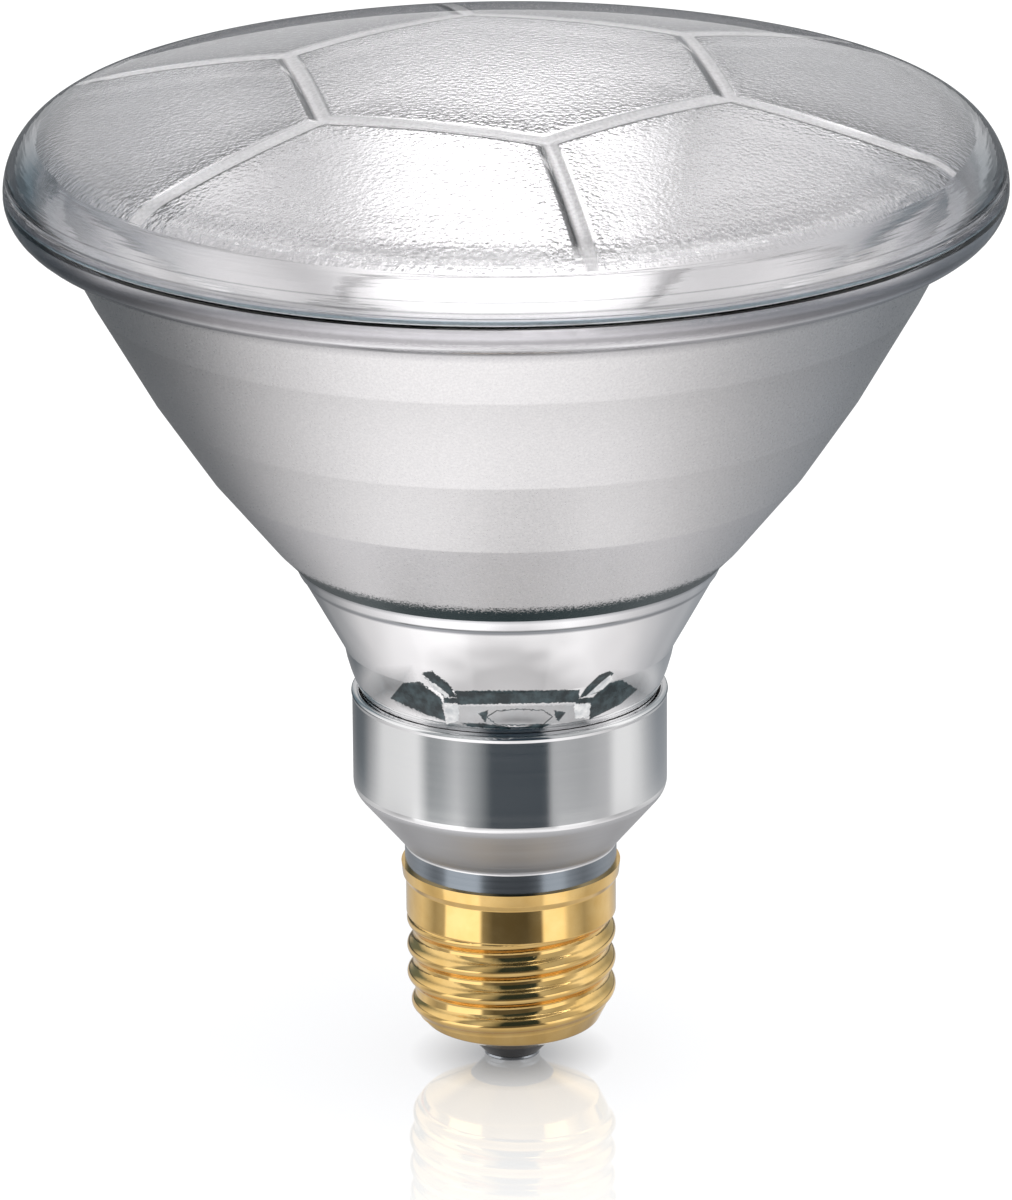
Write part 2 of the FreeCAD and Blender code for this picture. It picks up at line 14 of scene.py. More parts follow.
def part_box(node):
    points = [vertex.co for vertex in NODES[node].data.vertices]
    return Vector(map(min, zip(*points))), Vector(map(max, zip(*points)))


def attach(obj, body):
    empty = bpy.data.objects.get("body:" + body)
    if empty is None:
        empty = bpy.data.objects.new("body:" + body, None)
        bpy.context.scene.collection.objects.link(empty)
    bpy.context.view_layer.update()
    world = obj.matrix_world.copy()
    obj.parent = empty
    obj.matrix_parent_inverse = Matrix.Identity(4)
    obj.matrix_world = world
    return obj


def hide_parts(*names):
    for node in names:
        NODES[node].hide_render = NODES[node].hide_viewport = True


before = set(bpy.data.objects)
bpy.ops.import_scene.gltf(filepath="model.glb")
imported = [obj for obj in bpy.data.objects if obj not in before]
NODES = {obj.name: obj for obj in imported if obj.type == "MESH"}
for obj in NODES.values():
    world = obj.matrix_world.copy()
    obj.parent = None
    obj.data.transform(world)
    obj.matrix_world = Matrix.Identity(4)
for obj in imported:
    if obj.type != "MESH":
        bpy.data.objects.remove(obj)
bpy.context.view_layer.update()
MM = 0.001
FULL_TURN = 2 * math.pi

# Camera, fitted to the photograph
PHOTO_HEIGHT_PX = 1200
CAMERA_DISTANCE = 1.0
CAMERA_ELEVATION = math.radians(18.66)
CAMERA_TARGET_HEIGHT = 0.06008
CAMERA_ROLL = math.radians(0.4)
CAMERA_FOCAL_PX = 8103.6
CAMERA_SHIFT_PX = 3.0
SENSOR_MM = 36.0
CAMERA_CLIP_START = 0.01

# Front lens
LENS_WALL = 3.8 * MM
LENS_SHOULDER_RADIUS = 8.9 * MM
SEAM_ROUNDING = 0.35 * MM
SEAM_GAP = 0.02 * MM
HEXAGON_SIDES = 6
HEXAGON_RADIUS = 28.0 * MM
HEXAGON_TURN = math.radians(9.7)
RIB_WIDTH = 3.2 * MM
RIB_DEPTH = 0.75 * MM
RIB_RUN_OUT = 3 * MM
PANE_CROWN = 0.45 * MM
PANE_CROWN_REACH = 5.0 * MM
PANE_CROWN_RUN_OUT = 8 * MM
GLASS_IOR = 1.47
GLASS_TINT = (0.995, 0.985, 0.995)
FLANGE_GLASS_TINT = (0.8, 0.8, 0.8)

# Fineness of the lens's mesh
LENS_SEGMENTS = 240
DOME_STEPS = 30
SHOULDER_STEPS = 24
INNER_SHOULDER_STEPS = 14
RIB_ROWS = 7
ROWS_PER_WIDTH = 12
RIB_STEP = 0.9 * MM
PANE_PITCH = 1.6 * MM
PANE_ROW_RISE = 0.866
PANE_MARGIN = 0.75 * RIB_WIDTH
JOIN_MARGIN = 0.8 * MM
INSIDE_BORDER = 1
MERGE_DISTANCE = 1e-7

# Inner face of the lens, by distance from a rib's middle line in half widths of a rib: where
# the stipple starts, where the crest's painted highlight ends and where its lit side ends
PANE_EDGE = (0.8, 1.05)
CREST_EDGE = (0.62, 0.85)
LIT_EDGE = (0.1, 0.4)
STIPPLE_REACH_MM = 4.0
RIB_SHADE = Vector((-0.8, -0.6))

# Values between which most of a noise lies
NOISE_SPREAD = (0.3, 0.7)

# Lower end of the frosting: heights, what is added to its grain there, and its specks
FROST_BOTTOM = 67.2 * MM
FROST_FULL = 69.8 * MM
FROST_RUN_OUT = (-0.3, 0.35)
FROST_SPECKS = (0.42, 0.6)

# Zones of the bowl, the skirt and the lens: heights, a radius, margins and parts of a normal
BOWL_BOTTOM = 66.3 * MM
FLANGE_BOTTOM = 108.8 * MM
MIRROR_TOP = 111.2 * MM
MIRROR_BOTTOM = 57.0 * MM
HEEL_BOTTOM = 45.5 * MM
COLLAR_TOP = 28.6 * MM
CONE_TOP = 37.0 * MM
NECK_INSIDE = 18 * MM
SEAM_MARGIN = 0.1 * MM
FLANGE_MARGIN = 0.02 * MM
FLANGE_ROUNDING = 0.36 * MM
MIRROR_MARGIN = 0.05 * MM
INNER_MARGIN = 1.5 * MM
UPWARD = 0.95
DOWNWARD = -0.9
UNDERSIDE = -0.25

# Tints of the glass near the seam, by height above it in mm: a painted shade at the seam
# and painted light and dark lines on the rim
RIM_TINTS = [
    (-0.1, (0.40, 0.42, 0.45)),
    (0.16, (0.34, 0.38, 0.41)),
    (0.34, (0.06, 0.10, 0.12)),
    (0.62, (0.08, 0.12, 0.15)),
    (0.76, (0.34, 0.35, 0.38)),
    (1.40, (0.52, 0.52, 0.53)),
    (1.52, (0.30, 0.30, 0.31)),
    (1.62, (0.30, 0.30, 0.31)),
    (1.74, (0.80, 0.80, 0.81)),
    (2.68, (0.90, 0.895, 0.90)),
    (2.75, (0.42, 0.42, 0.43)),
    (2.82, (0.42, 0.42, 0.43)),
    (2.90, (0.88, 0.87, 0.88)),
    (4.5, (0.84, 0.83, 0.84)),
    (8.0, (0.88, 0.87, 0.88)),
]
# Tints of the flange's mirror below the seam, by height in mm: painted light and dark reflected
# lines, and a painted shade at the seam and at its foot
FLANGE_TINTS = [
    (-4.75, (0.34, 0.34, 0.36)),
    (-3.45, (0.36, 0.36, 0.38)),
    (-3.15, (0.85, 0.85, 0.87)),
    (-2.85, (0.60, 0.59, 0.61)),
    (-2.55, (0.42, 0.41, 0.43)),
    (-1.90, (0.44, 0.435, 0.45)),
    (-1.55, (0.62, 0.61, 0.64)),
    (-0.50, (0.74, 0.73, 0.76)),
    (-0.30, (0.66, 0.66, 0.69)),
    (0.0, (0.40, 0.42, 0.45)),
]

# Tints of the neck's mirror by height in mm, with a painted dark line at its shoulder and a
# painted shade at its top
NECK_TINTS = [
    (45.0, (0.93, 0.925, 0.93)),
    (64.0, (0.93, 0.925, 0.93)),
    (64.3, (0.30, 0.31, 0.33)),
    (64.7, (0.26, 0.28, 0.30)),
    (65.0, (0.86, 0.86, 0.87)),
    (65.8, (0.90, 0.90, 0.91)),
    (66.3, (0.45, 0.46, 0.48)),
]

# Tints of the frosted bowl by height in mm: a painted shade under the flange, and the bands
# painted darker towards their tops
BOWL_TINTS = [
    (66.0, (1.0, 1.0, 1.0)),
    (78.3, (0.94, 0.94, 0.95)),
    (78.5, (1.0, 1.0, 1.0)),
    (84.0, (0.97, 0.97, 0.97)),
    (88.3, (0.93, 0.93, 0.93)),
    (88.5, (1.0, 1.0, 1.0)),
    (95.0, (0.97, 0.97, 0.97)),
    (101.0, (0.90, 0.90, 0.90)),
    (101.2, (1.0, 1.0, 1.0)),
    (107.0, (1.0, 1.0, 1.0)),
    (108.6, (0.55, 0.55, 0.57)),
]

# Painted shade on the mirror at its upper left and right sides: from and to, across and in height
MIRROR_SHADE_ACROSS = (27 * MM, 46 * MM)
MIRROR_SHADE_HEIGHT = (97 * MM, 104 * MM)

# Windows in the mirror coat of the heel, painted dark for the dark inside seen through them:
# corners in mm, across and along a plane that leans back by the camera's elevation
WINDOW_LEAN = math.tan(CAMERA_ELEVATION)
WINDOW_EDGE_MM = 0.06
DARK_WINDOWS = [
    [(-6.7, 48.5), (8.5, 48.5), (8.4, 46.9), (-6.3, 46.7)],
    [(-10.6, 50.8), (-9.5, 51.1), (-7.3, 49.3), (-6.3, 47.5), (-8.0, 47.8), (-9.4, 49.0)],
    [(12.2, 50.9), (12.7, 50.6), (10.7, 48.1), (8.4, 47.4), (9.3, 48.8), (10.9, 50.4)],
    [(-14.6, 47.5), (-13.0, 49.5), (-11.0, 49.7), (-8.4, 47.7), (-7.8, 44.6), (-10.6, 45.6)],
    [(9.7, 47.0), (11.7, 49.3), (13.8, 49.7), (15.6, 48.4), (13.6, 46.6), (9.7, 44.6)],
    [(-8.1, 47.7), (-6.2, 47.5), (-6.2, 46.9), (-8.0, 46.9)],
    [(8.0, 47.3), (10.2, 47.6), (10.1, 46.8), (8.0, 46.7)],
    [(-3.8, 45.6), (-2.6, 46.0), (-2.9, 44.4), (-3.3, 44.8)],
    [(5.4, 45.9), (6.8, 45.6), (5.9, 44.4), (5.6, 44.9)],
    [(-6.0, 44.3), (-3.4, 44.3), (0.1, 43.8), (0.1, 43.5), (-4.7, 43.8)],
    [(1.5, 43.7), (3.2, 44.2), (5.0, 44.1), (3.9, 43.6)],
]
# Painted glints and bright patches on the heel's coat
PAINTED_GLINTS = [
    [(-7.9, 46.7), (-6.2, 46.7), (-6.2, 44.6), (-7.7, 44.2)],
    [(7.8, 46.7), (9.9, 46.7), (9.6, 44.9), (8.0, 44.8)],
    [(-10.3, 50.3), (-9.3, 48.8), (-7.3, 47.5), (-7.5, 48.1), (-9.1, 49.4)],
    [(12.3, 50.4), (12.6, 49.8), (11.3, 48.5), (9.1, 47.5), (11.2, 49.5)],
]

# Painted shade on that coat, with soft edges, and a painted dark outline of the burner's pinch
PAINTED_GREY_SHADES = [
    [(-8.0, 46.8), (8.0, 46.8), (9.8, 44.0), (-7.6, 43.8)],
    [(-14.5, 47.2), (-7.9, 47.0), (-7.7, 44.4), (-10.5, 45.2)],
]
SIDE_SHADES = [
    [(-17.5, 47.2), (-15.6, 50.4), (-12.6, 50.6), (-11.5, 47.4)],
    [(17.5, 47.2), (16.0, 49.6), (13.4, 49.8), (12.5, 47.4)],
]
GREY_EDGE_MM = 0.35
SHADE_EDGE_MM = 1.3
PINCH_OVAL = [
    (-2.8, 45.1), (-1.6, 45.9), (1.2, 46.1), (4.1, 45.9),
    (5.2, 45.1), (4.1, 44.1), (1.2, 44.0), (-1.6, 44.1),
]
WINDOW_RAGGED_MM = 0.22
OVAL_LINE_MM = (0.03, 0.11)
OVAL_DARKNESS = 0.9
GREY_DARKNESS = 0.58
SHADE_DARKNESS = 0.62

FLOOR_SIZE = 6.0

# Floor as the camera sees it, by distance from the contact: share of its mirror, glow of its
# white where the mirror's share is none and greatest, and the painted shadow under the contact
FLOOR_GREY = (0.5, 0.5, 0.5, 1)
FLOOR_MIRROR_TINT = (0.92, 0.95, 1.0, 1)
FLOOR_MIRROR_ROUGHNESS = 0.01
FLOOR_MIRROR_REACH = (4 * MM, 75 * MM)
FLOOR_MIRROR_NEAR = 0.5
FLOOR_MIRROR_FAR = 0.06
FLOOR_GLOW = (1.1, 1.9)
# Painted shadow under the contact: its reach, darkness and tint
CONTACT_SHADOW_REACH = (3 * MM, 13 * MM)
CONTACT_SHADOW_DARKNESS = 0.5
CONTACT_SHADOW_TINT = (0.02, 0.02, 0.025, 1)

# Floor as matt surfaces see it
PLAIN_FLOOR = (0.8, 0.8, 0.8, 1)
WHITE = (1, 1, 1, 1)

# Studio round the horizon: (degrees from the front, positive to the right, colour)
STUDIO_HORIZON = [
    (-180, (0.62, 0.62, 0.63)),
    (-165, (0.55, 0.56, 0.57)),
    (-150, (0.16, 0.21, 0.24)),
    (-138, (0.16, 0.21, 0.24)),
    (-125, (0.6, 0.61, 0.62)),
    (-105, (1.0, 1.0, 1.0)),
    (-72, (1.1, 1.1, 1.1)),
    (-62, (0.36, 0.38, 0.39)),
    (-52, (0.42, 0.44, 0.45)),
    (-40, (0.68, 0.69, 0.70)),
    (-25, (0.36, 0.38, 0.39)),
    (-14, (0.028, 0.045, 0.06)),
    (27, (0.028, 0.045, 0.06)),
    (31, (0.58, 0.59, 0.60)),
    (56, (0.50, 0.51, 0.52)),
    (76, (0.66, 0.66, 0.67)),
    (84, (1.1, 1.1, 1.1)),
    (98, (1.1, 1.1, 1.1)),
    (120, (0.7, 0.71, 0.72)),
    (140, (0.40, 0.43, 0.45)),
    (152, (0.40, 0.43, 0.45)),
    (165, (0.58, 0.59, 0.60)),
    (180, (0.62, 0.62, 0.63)),
]

# Overhead panel of the studio: its colour, and by height of a direction its level and where
# it starts and is full, in mirrors and through glass, and for glass also straight ahead
STUDIO_TOP = (3.1, 3.1, 3.1)
MIRRORED_TOP = 0.2
ZENITH_LEVELS = [(0.0, 1.0), (0.52, 1.0), (0.78, 0.45), (0.9, 0.45), (0.99, 0.95), (1.0, 1.0)]
PANEL_IN_MIRRORS = (0.72, 0.95)
PANEL_THROUGH_GLASS = (0.36, 0.75)
PANEL_FULL_AHEAD = 0.62
PANEL_AHEAD = (-0.8, 0.0)
PANEL_SIDES = (0.36, 0.82)
PANEL_SIDE_LEVEL = 0.15

# Floor as metal and glass see it: shade near the contact, times a pool of light, a flag's
# shade at the back left, a lift at the right and a dip ahead
SHADE_LEVELS = [
    (0.0, 0.30),
    (12 * MM, 0.50),
    (21 * MM, 0.72),
    (28 * MM, 0.80),
    (32 * MM, 0.62),
    (36.5 * MM, 0.52),
    (39.5 * MM, 0.72),
    (45 * MM, 1.05),
    (54 * MM, 1.14),
    (64 * MM, 1.04),
    (75 * MM, 1.0),
]
DIP_LEVELS = [
    (0.0, 0.0),
    (43 * MM, 0.0),
    (47 * MM, 0.5),
    (54 * MM, 0.25),
    (64 * MM, 0.0),
]
POOL_CENTRE = (-20 * MM, -115 * MM, 0)
POOL_STRETCH = (1.25, 1.0, 1.0)
POOL_LEVELS = [
    (0.0, 1.32),
    (50 * MM, 1.24),
    (90 * MM, 1.02),
    (130 * MM, 0.74),
    (190 * MM, 0.42),
    (300 * MM, 0.18),
    (600 * MM, 0.12),
]
POOL_TINTS = [
    (0.0, (1.0, 0.985, 0.99)),
    (0.25, (1.0, 0.985, 0.995)),
    (0.45, (0.9, 0.97, 1.06)),
    (1.0, (0.72, 0.92, 1.1)),
]
DIP_SIDE = 6 * MM
DIP_ACROSS = (6 * MM, 26 * MM)
DIP_DEPTH = (-20 * MM, 0.0)
FLAG_WAY = (-0.75, 0.66, 0)
FLAG_REACH = (62 * MM, 125 * MM)
FLAG_LEVEL = 0.42
LIFT_ACROSS = (18 * MM, 46 * MM)
LIFT_MOST = 0.7
LIFT_REACH = (34 * MM, 46 * MM)
LIFT_BEYOND = 0.06

# Share of what the floor shows to grazing rays, by how it faces them and by depth
GRAZING_FACING = (0.4, 0.62)
GRAZING_SHARE = (0.04, 0.98)
GRAZING_DEPTH = (30 * MM, 90 * MM)
GRAZING_BEHIND = 0.25

# Cards near the contact, as the upright brass sees them at a shallow angle: (degrees from
# the front, positive to the right, level)
CARD_LEVELS = [
    (-180, 0.5),
    (-140, 0.6),
    (-120, 0.7),
    (-105, 0.8),
    (-85, 0.38),
    (-72, 0.5),
    (-69, 1.4),
    (-32, 1.5),
    (-29, 0.3),
    (-18, 0.1),
    (15, 0.08),
    (30, 0.22),
    (33, 1.3),
    (54, 1.35),
    (60, 0.75),
    (80, 0.4),
    (104, 0.75),
    (125, 0.85),
    (150, 0.6),
    (180, 0.5),
]
CARD_REACH = (100 * MM, 118 * MM)
FLOOR_ROUGHNESS = 0.03

# Overhead lamp
LAMP_SIDE = 1.0
LAMP_PLACE = (0.2, -0.1, 1.4)
LAMP_TARGET = (0, 0, 0.07)
LAMP_POWER = 5

# Bounces between mirrors that are followed
GLOSSY_BOUNCES = 8


def lens_levels():
    """Heights and radii that the lens shares with its solid."""
    low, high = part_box("front_lens")
    bowl_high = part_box("reflector_bowl")[1]
    rim = max(high[0], bowl_high[0])
    seam = low[2]
    rise = high[2] - seam
    centre = rim - LENS_SHOULDER_RADIUS
    radius = centre**2 + rise**2 - LENS_SHOULDER_RADIUS**2
    radius /= 2 * (rise - LENS_SHOULDER_RADIUS)
    return rim, seam, centre, radius, seam + rise - radius


RIM, SEAM, SHOULDER_CENTRE, DOME_RADIUS, DOME_CENTRE = lens_levels()


def connect(tree, source, target):
    """Link a socket to an input, or put a number or colour on the input."""
    if isinstance(source, bpy.types.NodeSocket):
        tree.links.new(source, target)
    else:
        target.default_value = source


def add_material(name, metallic=0.0):
    """New node material; returns it with its node tree and principled shader."""
    material = bpy.data.materials.new(name)
    material.use_nodes = True
    tree = material.node_tree
    shader = tree.nodes["Principled BSDF"]
    shader.inputs["Metallic"].default_value = metallic
    return material, tree, shader


def set_surface(tree, shader):
    """Make a shader socket the material's surface."""
    tree.links.new(shader, tree.nodes["Material Output"].inputs["Surface"])


def object_coordinates(tree):
    """Output socket with the object's own coordinates in metres."""
    return tree.nodes.new("ShaderNodeTexCoord").outputs["Object"]


def split_vector(tree, vector):
    """X, Y and Z sockets of a vector socket."""
    split = tree.nodes.new("ShaderNodeSeparateXYZ")
    tree.links.new(vector, split.inputs[0])
    return split.outputs["X"], split.outputs["Y"], split.outputs["Z"]


def object_place(tree):
    """X, Y and Z sockets of the object's own coordinates."""
    return split_vector(tree, object_coordinates(tree))


def noise(tree, size, detail=2.0, stretch=(1, 1, 1), roughness=0.5):
    """Noise whose grains are about size metres across; returns its value socket."""
    mapping = tree.nodes.new("ShaderNodeMapping")
    mapping.inputs["Scale"].default_value = stretch
    texture = tree.nodes.new("ShaderNodeTexNoise")
    texture.inputs["Scale"].default_value = 1 / size
    texture.inputs["Detail"].default_value = detail
    texture.inputs["Roughness"].default_value = roughness
    tree.links.new(object_coordinates(tree), mapping.inputs["Vector"])
    tree.links.new(mapping.outputs["Vector"], texture.inputs["Vector"])
    return texture.outputs["Fac"]


def add_math(tree, operation, first, second=0.0):
    """Value of a math node; first and second are sockets or numbers."""
    node = tree.nodes.new("ShaderNodeMath")
    node.operation = operation
    connect(tree, first, node.inputs[0])
    connect(tree, second, node.inputs[1])
    return node.outputs[0]


def product(tree, first, *others):
    """Product of some values."""
    for other in others:
        first = add_math(tree, "MULTIPLY", first, other)
    return first


def vector_math(tree, operation, first, second=(0, 0, 0)):
    """Vector math node of a vector socket and a constant vector."""
    node = tree.nodes.new("ShaderNodeVectorMath")
    node.operation = operation
    tree.links.new(first, node.inputs[0])
    node.inputs[1].default_value = second
    return node


def map_range(tree, value, low, high, to_low, to_high):
    """Value mapped from low..high to to_low..to_high and clamped."""
    node = tree.nodes.new("ShaderNodeMapRange")
    connect(tree, low, node.inputs["From Min"])
    connect(tree, high, node.inputs["From Max"])
    node.inputs["To Min"].default_value = to_low
    node.inputs["To Max"].default_value = to_high
    tree.links.new(value, node.inputs["Value"])
    return node.outputs["Result"]


def spread(tree, value, to_low, to_high):
    """Noise value spread over to_low..to_high."""
    return map_range(tree, value, *NOISE_SPREAD, to_low, to_high)


def colour_ramp(tree, value, steps):
    """Colour by value, from pairs of place and colour."""
    ramp = tree.nodes.new("ShaderNodeValToRGB")
    elements = ramp.color_ramp.elements
    while len(elements) > 1:
        elements.remove(elements[-1])
    elements[0].position = steps[0][0]
    elements[0].color = (*steps[0][1], 1)
    for place, colour in steps[1:]:
        elements.new(place).color = (*colour, 1)
    tree.links.new(value, ramp.inputs["Fac"])
    return ramp.outputs["Color"]


def mix_colours(tree, value, low, high):
    """Colour that goes from low to high with value."""
    return colour_ramp(tree, value, [(0.0, low), (1.0, high)])


def mix_node(tree, share, low, high):
    """Mix node from low to high, two colours or colour sockets."""
    node = tree.nodes.new("ShaderNodeMix")
    node.data_type = "RGBA"
    connect(tree, share, node.inputs["Factor"])
    connect(tree, low, node.inputs["A"])
    connect(tree, high, node.inputs["B"])
    return node


def multiply_colours(tree, first, second):
    """Product of two colour sockets."""
    node = mix_node(tree, 1.0, first, second)
    node.blend_type = "MULTIPLY"
    return node.outputs["Result"]


def height_ramp(tree, tints, base=0.0):
    """Colour by height, from pairs of height above the base in mm and colour."""
    levels = [(base + height * MM, colour) for height, colour in tints]
    low, high = levels[0][0], levels[-1][0]
    place = map_range(tree, object_place(tree)[2], low, high, 0.0, 1.0)
    steps = [((height - low) / (high - low), colour) for height, colour in levels]
    return colour_ramp(tree, place, steps)


def grey_ramp(tree, place, levels):
    """Grey level by place from 0 to 1, halved in the ramp so that it may pass 1."""
    steps = [(step, (level / 2,) * 3) for step, level in levels]
    return add_math(tree, "MULTIPLY", colour_ramp(tree, place, steps), 2.0)


def level_ramp(tree, distance, levels):
    """Grey level by distance, from pairs of distance and level."""
    reach = levels[-1][0]
    steps = [(place / reach, level) for place, level in levels]
    return grey_ramp(tree, add_math(tree, "DIVIDE", distance, reach), steps)


def azimuth_place(tree, across, depth):
    """Angle about Z of a place or direction, from 0 to 1 round from the back by the left."""
    front = add_math(tree, "MULTIPLY", depth, -1.0)
    azimuth = add_math(tree, "ARCTAN2", across, front)
    return map_range(tree, azimuth, -math.pi, math.pi, 0.0, 1.0)


def turn_steps(levels):
    """Places from 0 to 1 in place of degrees from the front."""
    return [((degrees + 180) / 360, level) for degrees, level in levels]


def add_bump(tree, shader, value, height, strength=1.0):
    """Bump of a height in metres on the shader's normal."""
    bump = tree.nodes.new("ShaderNodeBump")
    connect(tree, strength, bump.inputs["Strength"])
    bump.inputs["Distance"].default_value = height
    tree.links.new(value, bump.inputs["Height"])
    tree.links.new(bump.outputs["Normal"], shader.inputs["Normal"])


def vary_roughness(tree, shader, value, low, high):
    """Roughness from low to high by a noise value."""
    tree.links.new(spread(tree, value, low, high), shader.inputs["Roughness"])


def mix_shaders(tree, share, low, high):
    """Mix of two shader sockets."""
    node = tree.nodes.new("ShaderNodeMixShader")
    tree.links.new(share, node.inputs["Fac"])
    tree.links.new(low, node.inputs[1])
    tree.links.new(high, node.inputs[2])
    return node.outputs["Shader"]


def diffuse_shader(tree, colour):
    """Socket of a plain matt shader."""
    node = tree.nodes.new("ShaderNodeBsdfDiffuse")
    node.inputs["Color"].default_value = colour
    return node.outputs["BSDF"]


def glossy_shader(tree, roughness, colour=(0.8, 0.8, 0.8, 1)):
    """Socket of a plain mirror shader."""
    node = tree.nodes.new("ShaderNodeBsdfGlossy")
    node.inputs["Roughness"].default_value = roughness
    node.inputs["Color"].default_value = colour
    return node.outputs["BSDF"]


def glow_shader(tree, strength, colour):
    """Socket of a shader that glows by its strength and colour, sockets or constants."""
    node = tree.nodes.new("ShaderNodeEmission")
    connect(tree, strength, node.inputs["Strength"])
    connect(tree, colour, node.inputs["Color"])
    return node.outputs["Emission"]


def mirrored_ray(tree, path):
    """Socket that is 1 for what mirrors and glass show."""
    glossy = path.outputs["Is Glossy Ray"]
    return add_math(tree, "MAXIMUM", glossy, path.outputs["Is Transmission Ray"])


def make_clear_glass(name, roughness=0.0, tint=(1, 1, 1)):
    """Clear glass, smooth or slightly rough."""
    material, tree, shader = add_material(name)
    shader.inputs["Transmission Weight"].default_value = 1.0
    shader.inputs["IOR"].default_value = GLASS_IOR
    shader.inputs["Base Color"].default_value = (*tint, 1)
    shader.inputs["Roughness"].default_value = roughness
    return material, tree, shader


def lens_attribute(tree, name):
    """Value socket of one of the lens's point attributes, in mm."""
    node = tree.nodes.new("ShaderNodeAttribute")
    node.attribute_name = name
    return node.outputs["Fac"]


def make_inner_glass():
    """Inner face of the lens: stippled panes, and smooth ribs with a painted highlight on their
    lit side.
    """
    material, tree, shader = make_clear_glass("inner_glass", tint=GLASS_TINT)
    half = RIB_WIDTH / MM / 2
    place = lens_attribute(tree, "rib_place")
    side = lens_attribute(tree, "rib_side")

    def near_edge(value, edge, before, beyond):
        """Level that changes over an edge, given in half widths of a rib."""
        return map_range(tree, value, edge[0] * half, edge[1] * half, before, beyond)

    def off_rib(at_rib, on_pane):
        """Level that changes from a rib's edge into the pane."""
        return map_range(tree, place, half, half + STIPPLE_REACH_MM, at_rib, on_pane)

    stipple = product(tree, near_edge(place, PANE_EDGE, 0.0, 1.0), off_rib(0.95, 0.42))
    add_bump(tree, shader, noise(tree, 0.6 * MM, detail=1.5), 0.2 * MM, stipple)
    tree.links.new(off_rib(0.09, 0.17), shader.inputs["Roughness"])
    crest = near_edge(place, CREST_EDGE, 1.0, 0.0)
    lit = near_edge(side, LIT_EDGE, 1.0, 0.0)
    cloud = spread(tree, noise(tree, 0.5 * MM), 0.72, 1.0)
    # Painted highlight: a white matt share on the lit side of each rib's crest
    crest_highlight = diffuse_shader(tree, (0.98, 0.975, 0.98, 1))
    share = product(tree, crest, lit, cloud)
    set_surface(tree, mix_shaders(tree, share, shader.outputs["BSDF"], crest_highlight))
    return material


def ring_noise(tree, size):
    """Noise in rings about the axis, of one value all the way round each ring."""
    flat = vector_math(tree, "MULTIPLY", object_coordinates(tree), (1, 1, 0))
    radius = vector_math(tree, "LENGTH", flat.outputs["Vector"])
    place = tree.nodes.new("ShaderNodeCombineXYZ")
    tree.links.new(radius.outputs["Value"], place.inputs["X"])
    tree.links.new(object_place(tree)[2], place.inputs["Z"])
    texture = tree.nodes.new("ShaderNodeTexNoise")
    texture.inputs["Scale"].default_value = 1 / size
    texture.inputs["Detail"].default_value = 3.0
    tree.links.new(place.outputs["Vector"], texture.inputs["Vector"])
    return texture.outputs["Fac"]


def make_rim_glass():
    """Shoulder of the lens: clear glass with pressing rings, a painted shade at the seam and
    painted lines above it.
    """
    material, tree, shader = make_clear_glass("rim_glass", roughness=0.06)
    tree.links.new(height_ramp(tree, RIM_TINTS, SEAM), shader.inputs["Base Color"])
    add_bump(tree, shader, ring_noise(tree, 1.1 * MM), 0.12 * MM, 0.5)
    return material


def make_smooth_glass():
    """Clear pressed glass with the faint waviness of a pressing."""
    material, tree, shader = make_clear_glass("smooth_glass", tint=GLASS_TINT)
    add_bump(tree, shader, noise(tree, 14 * MM, detail=1.0), 0.02 * MM, 0.3)
    return material


def make_seam():
    """Fused seam inside the glass, which shows no face of its own."""
    material, tree, _ = add_material("fused_seam")
    set_surface(tree, tree.nodes.new("ShaderNodeBsdfTransparent").outputs["BSDF"])
    return material


def make_mirror():
    """Vapour-deposited aluminium on the inner face of the bowl, with a painted shade at the upper
    sides.
    """
    material, tree, shader = add_material("mirror_coat", metallic=1.0)
    across, _, height = object_place(tree)
    aside = map_range(tree, add_math(tree, "ABSOLUTE", across), *MIRROR_SHADE_ACROSS, 0.0, 1.0)
    shaded = product(tree, aside, map_range(tree, height, *MIRROR_SHADE_HEIGHT, 0.0, 1.0))
    colour = mix_colours(tree, shaded, (0.95, 0.95, 0.95), (0.66, 0.67, 0.69))
    tree.links.new(colour, shader.inputs["Base Color"])
    vary_roughness(tree, shader, noise(tree, 5 * MM), 0.06, 0.12)
    return material


def make_frosted_mirror():
    """Outside of the bowl: fine etched grain over the mirror coat, with painted shade by height
    and painted dark specks.
    """
    material, tree, shader = add_material("frosted_mirror", metallic=0.95)
    grain = noise(tree, 0.3 * MM, detail=3.0, roughness=0.6)
    grey = mix_colours(tree, spread(tree, grain, 0, 1), (0.70, 0.695, 0.70), (0.86, 0.85, 0.85))
    tinted = multiply_colours(tree, grey, height_ramp(tree, BOWL_TINTS))
    height = object_place(tree)[2]
    run_out = map_range(tree, height, FROST_BOTTOM, FROST_FULL, *FROST_RUN_OUT)
    fine = noise(tree, 0.28 * MM, detail=3.0, roughness=0.7)
    specks = add_math(tree, "ADD", fine, run_out)
    frosted = map_range(tree, specks, *FROST_SPECKS, 0.0, 1.0)
    # Where the frost runs out, the bare specks are near black teal: a painted dark reflection
    colour = mix_node(tree, frosted, (0.02, 0.045, 0.05, 1), tinted)
    tree.links.new(colour.outputs["Result"], shader.inputs["Base Color"])
    vary_roughness(tree, shader, grain, 0.26, 0.36)
    add_bump(tree, shader, grain, 0.04 * MM, 0.7)
    return material


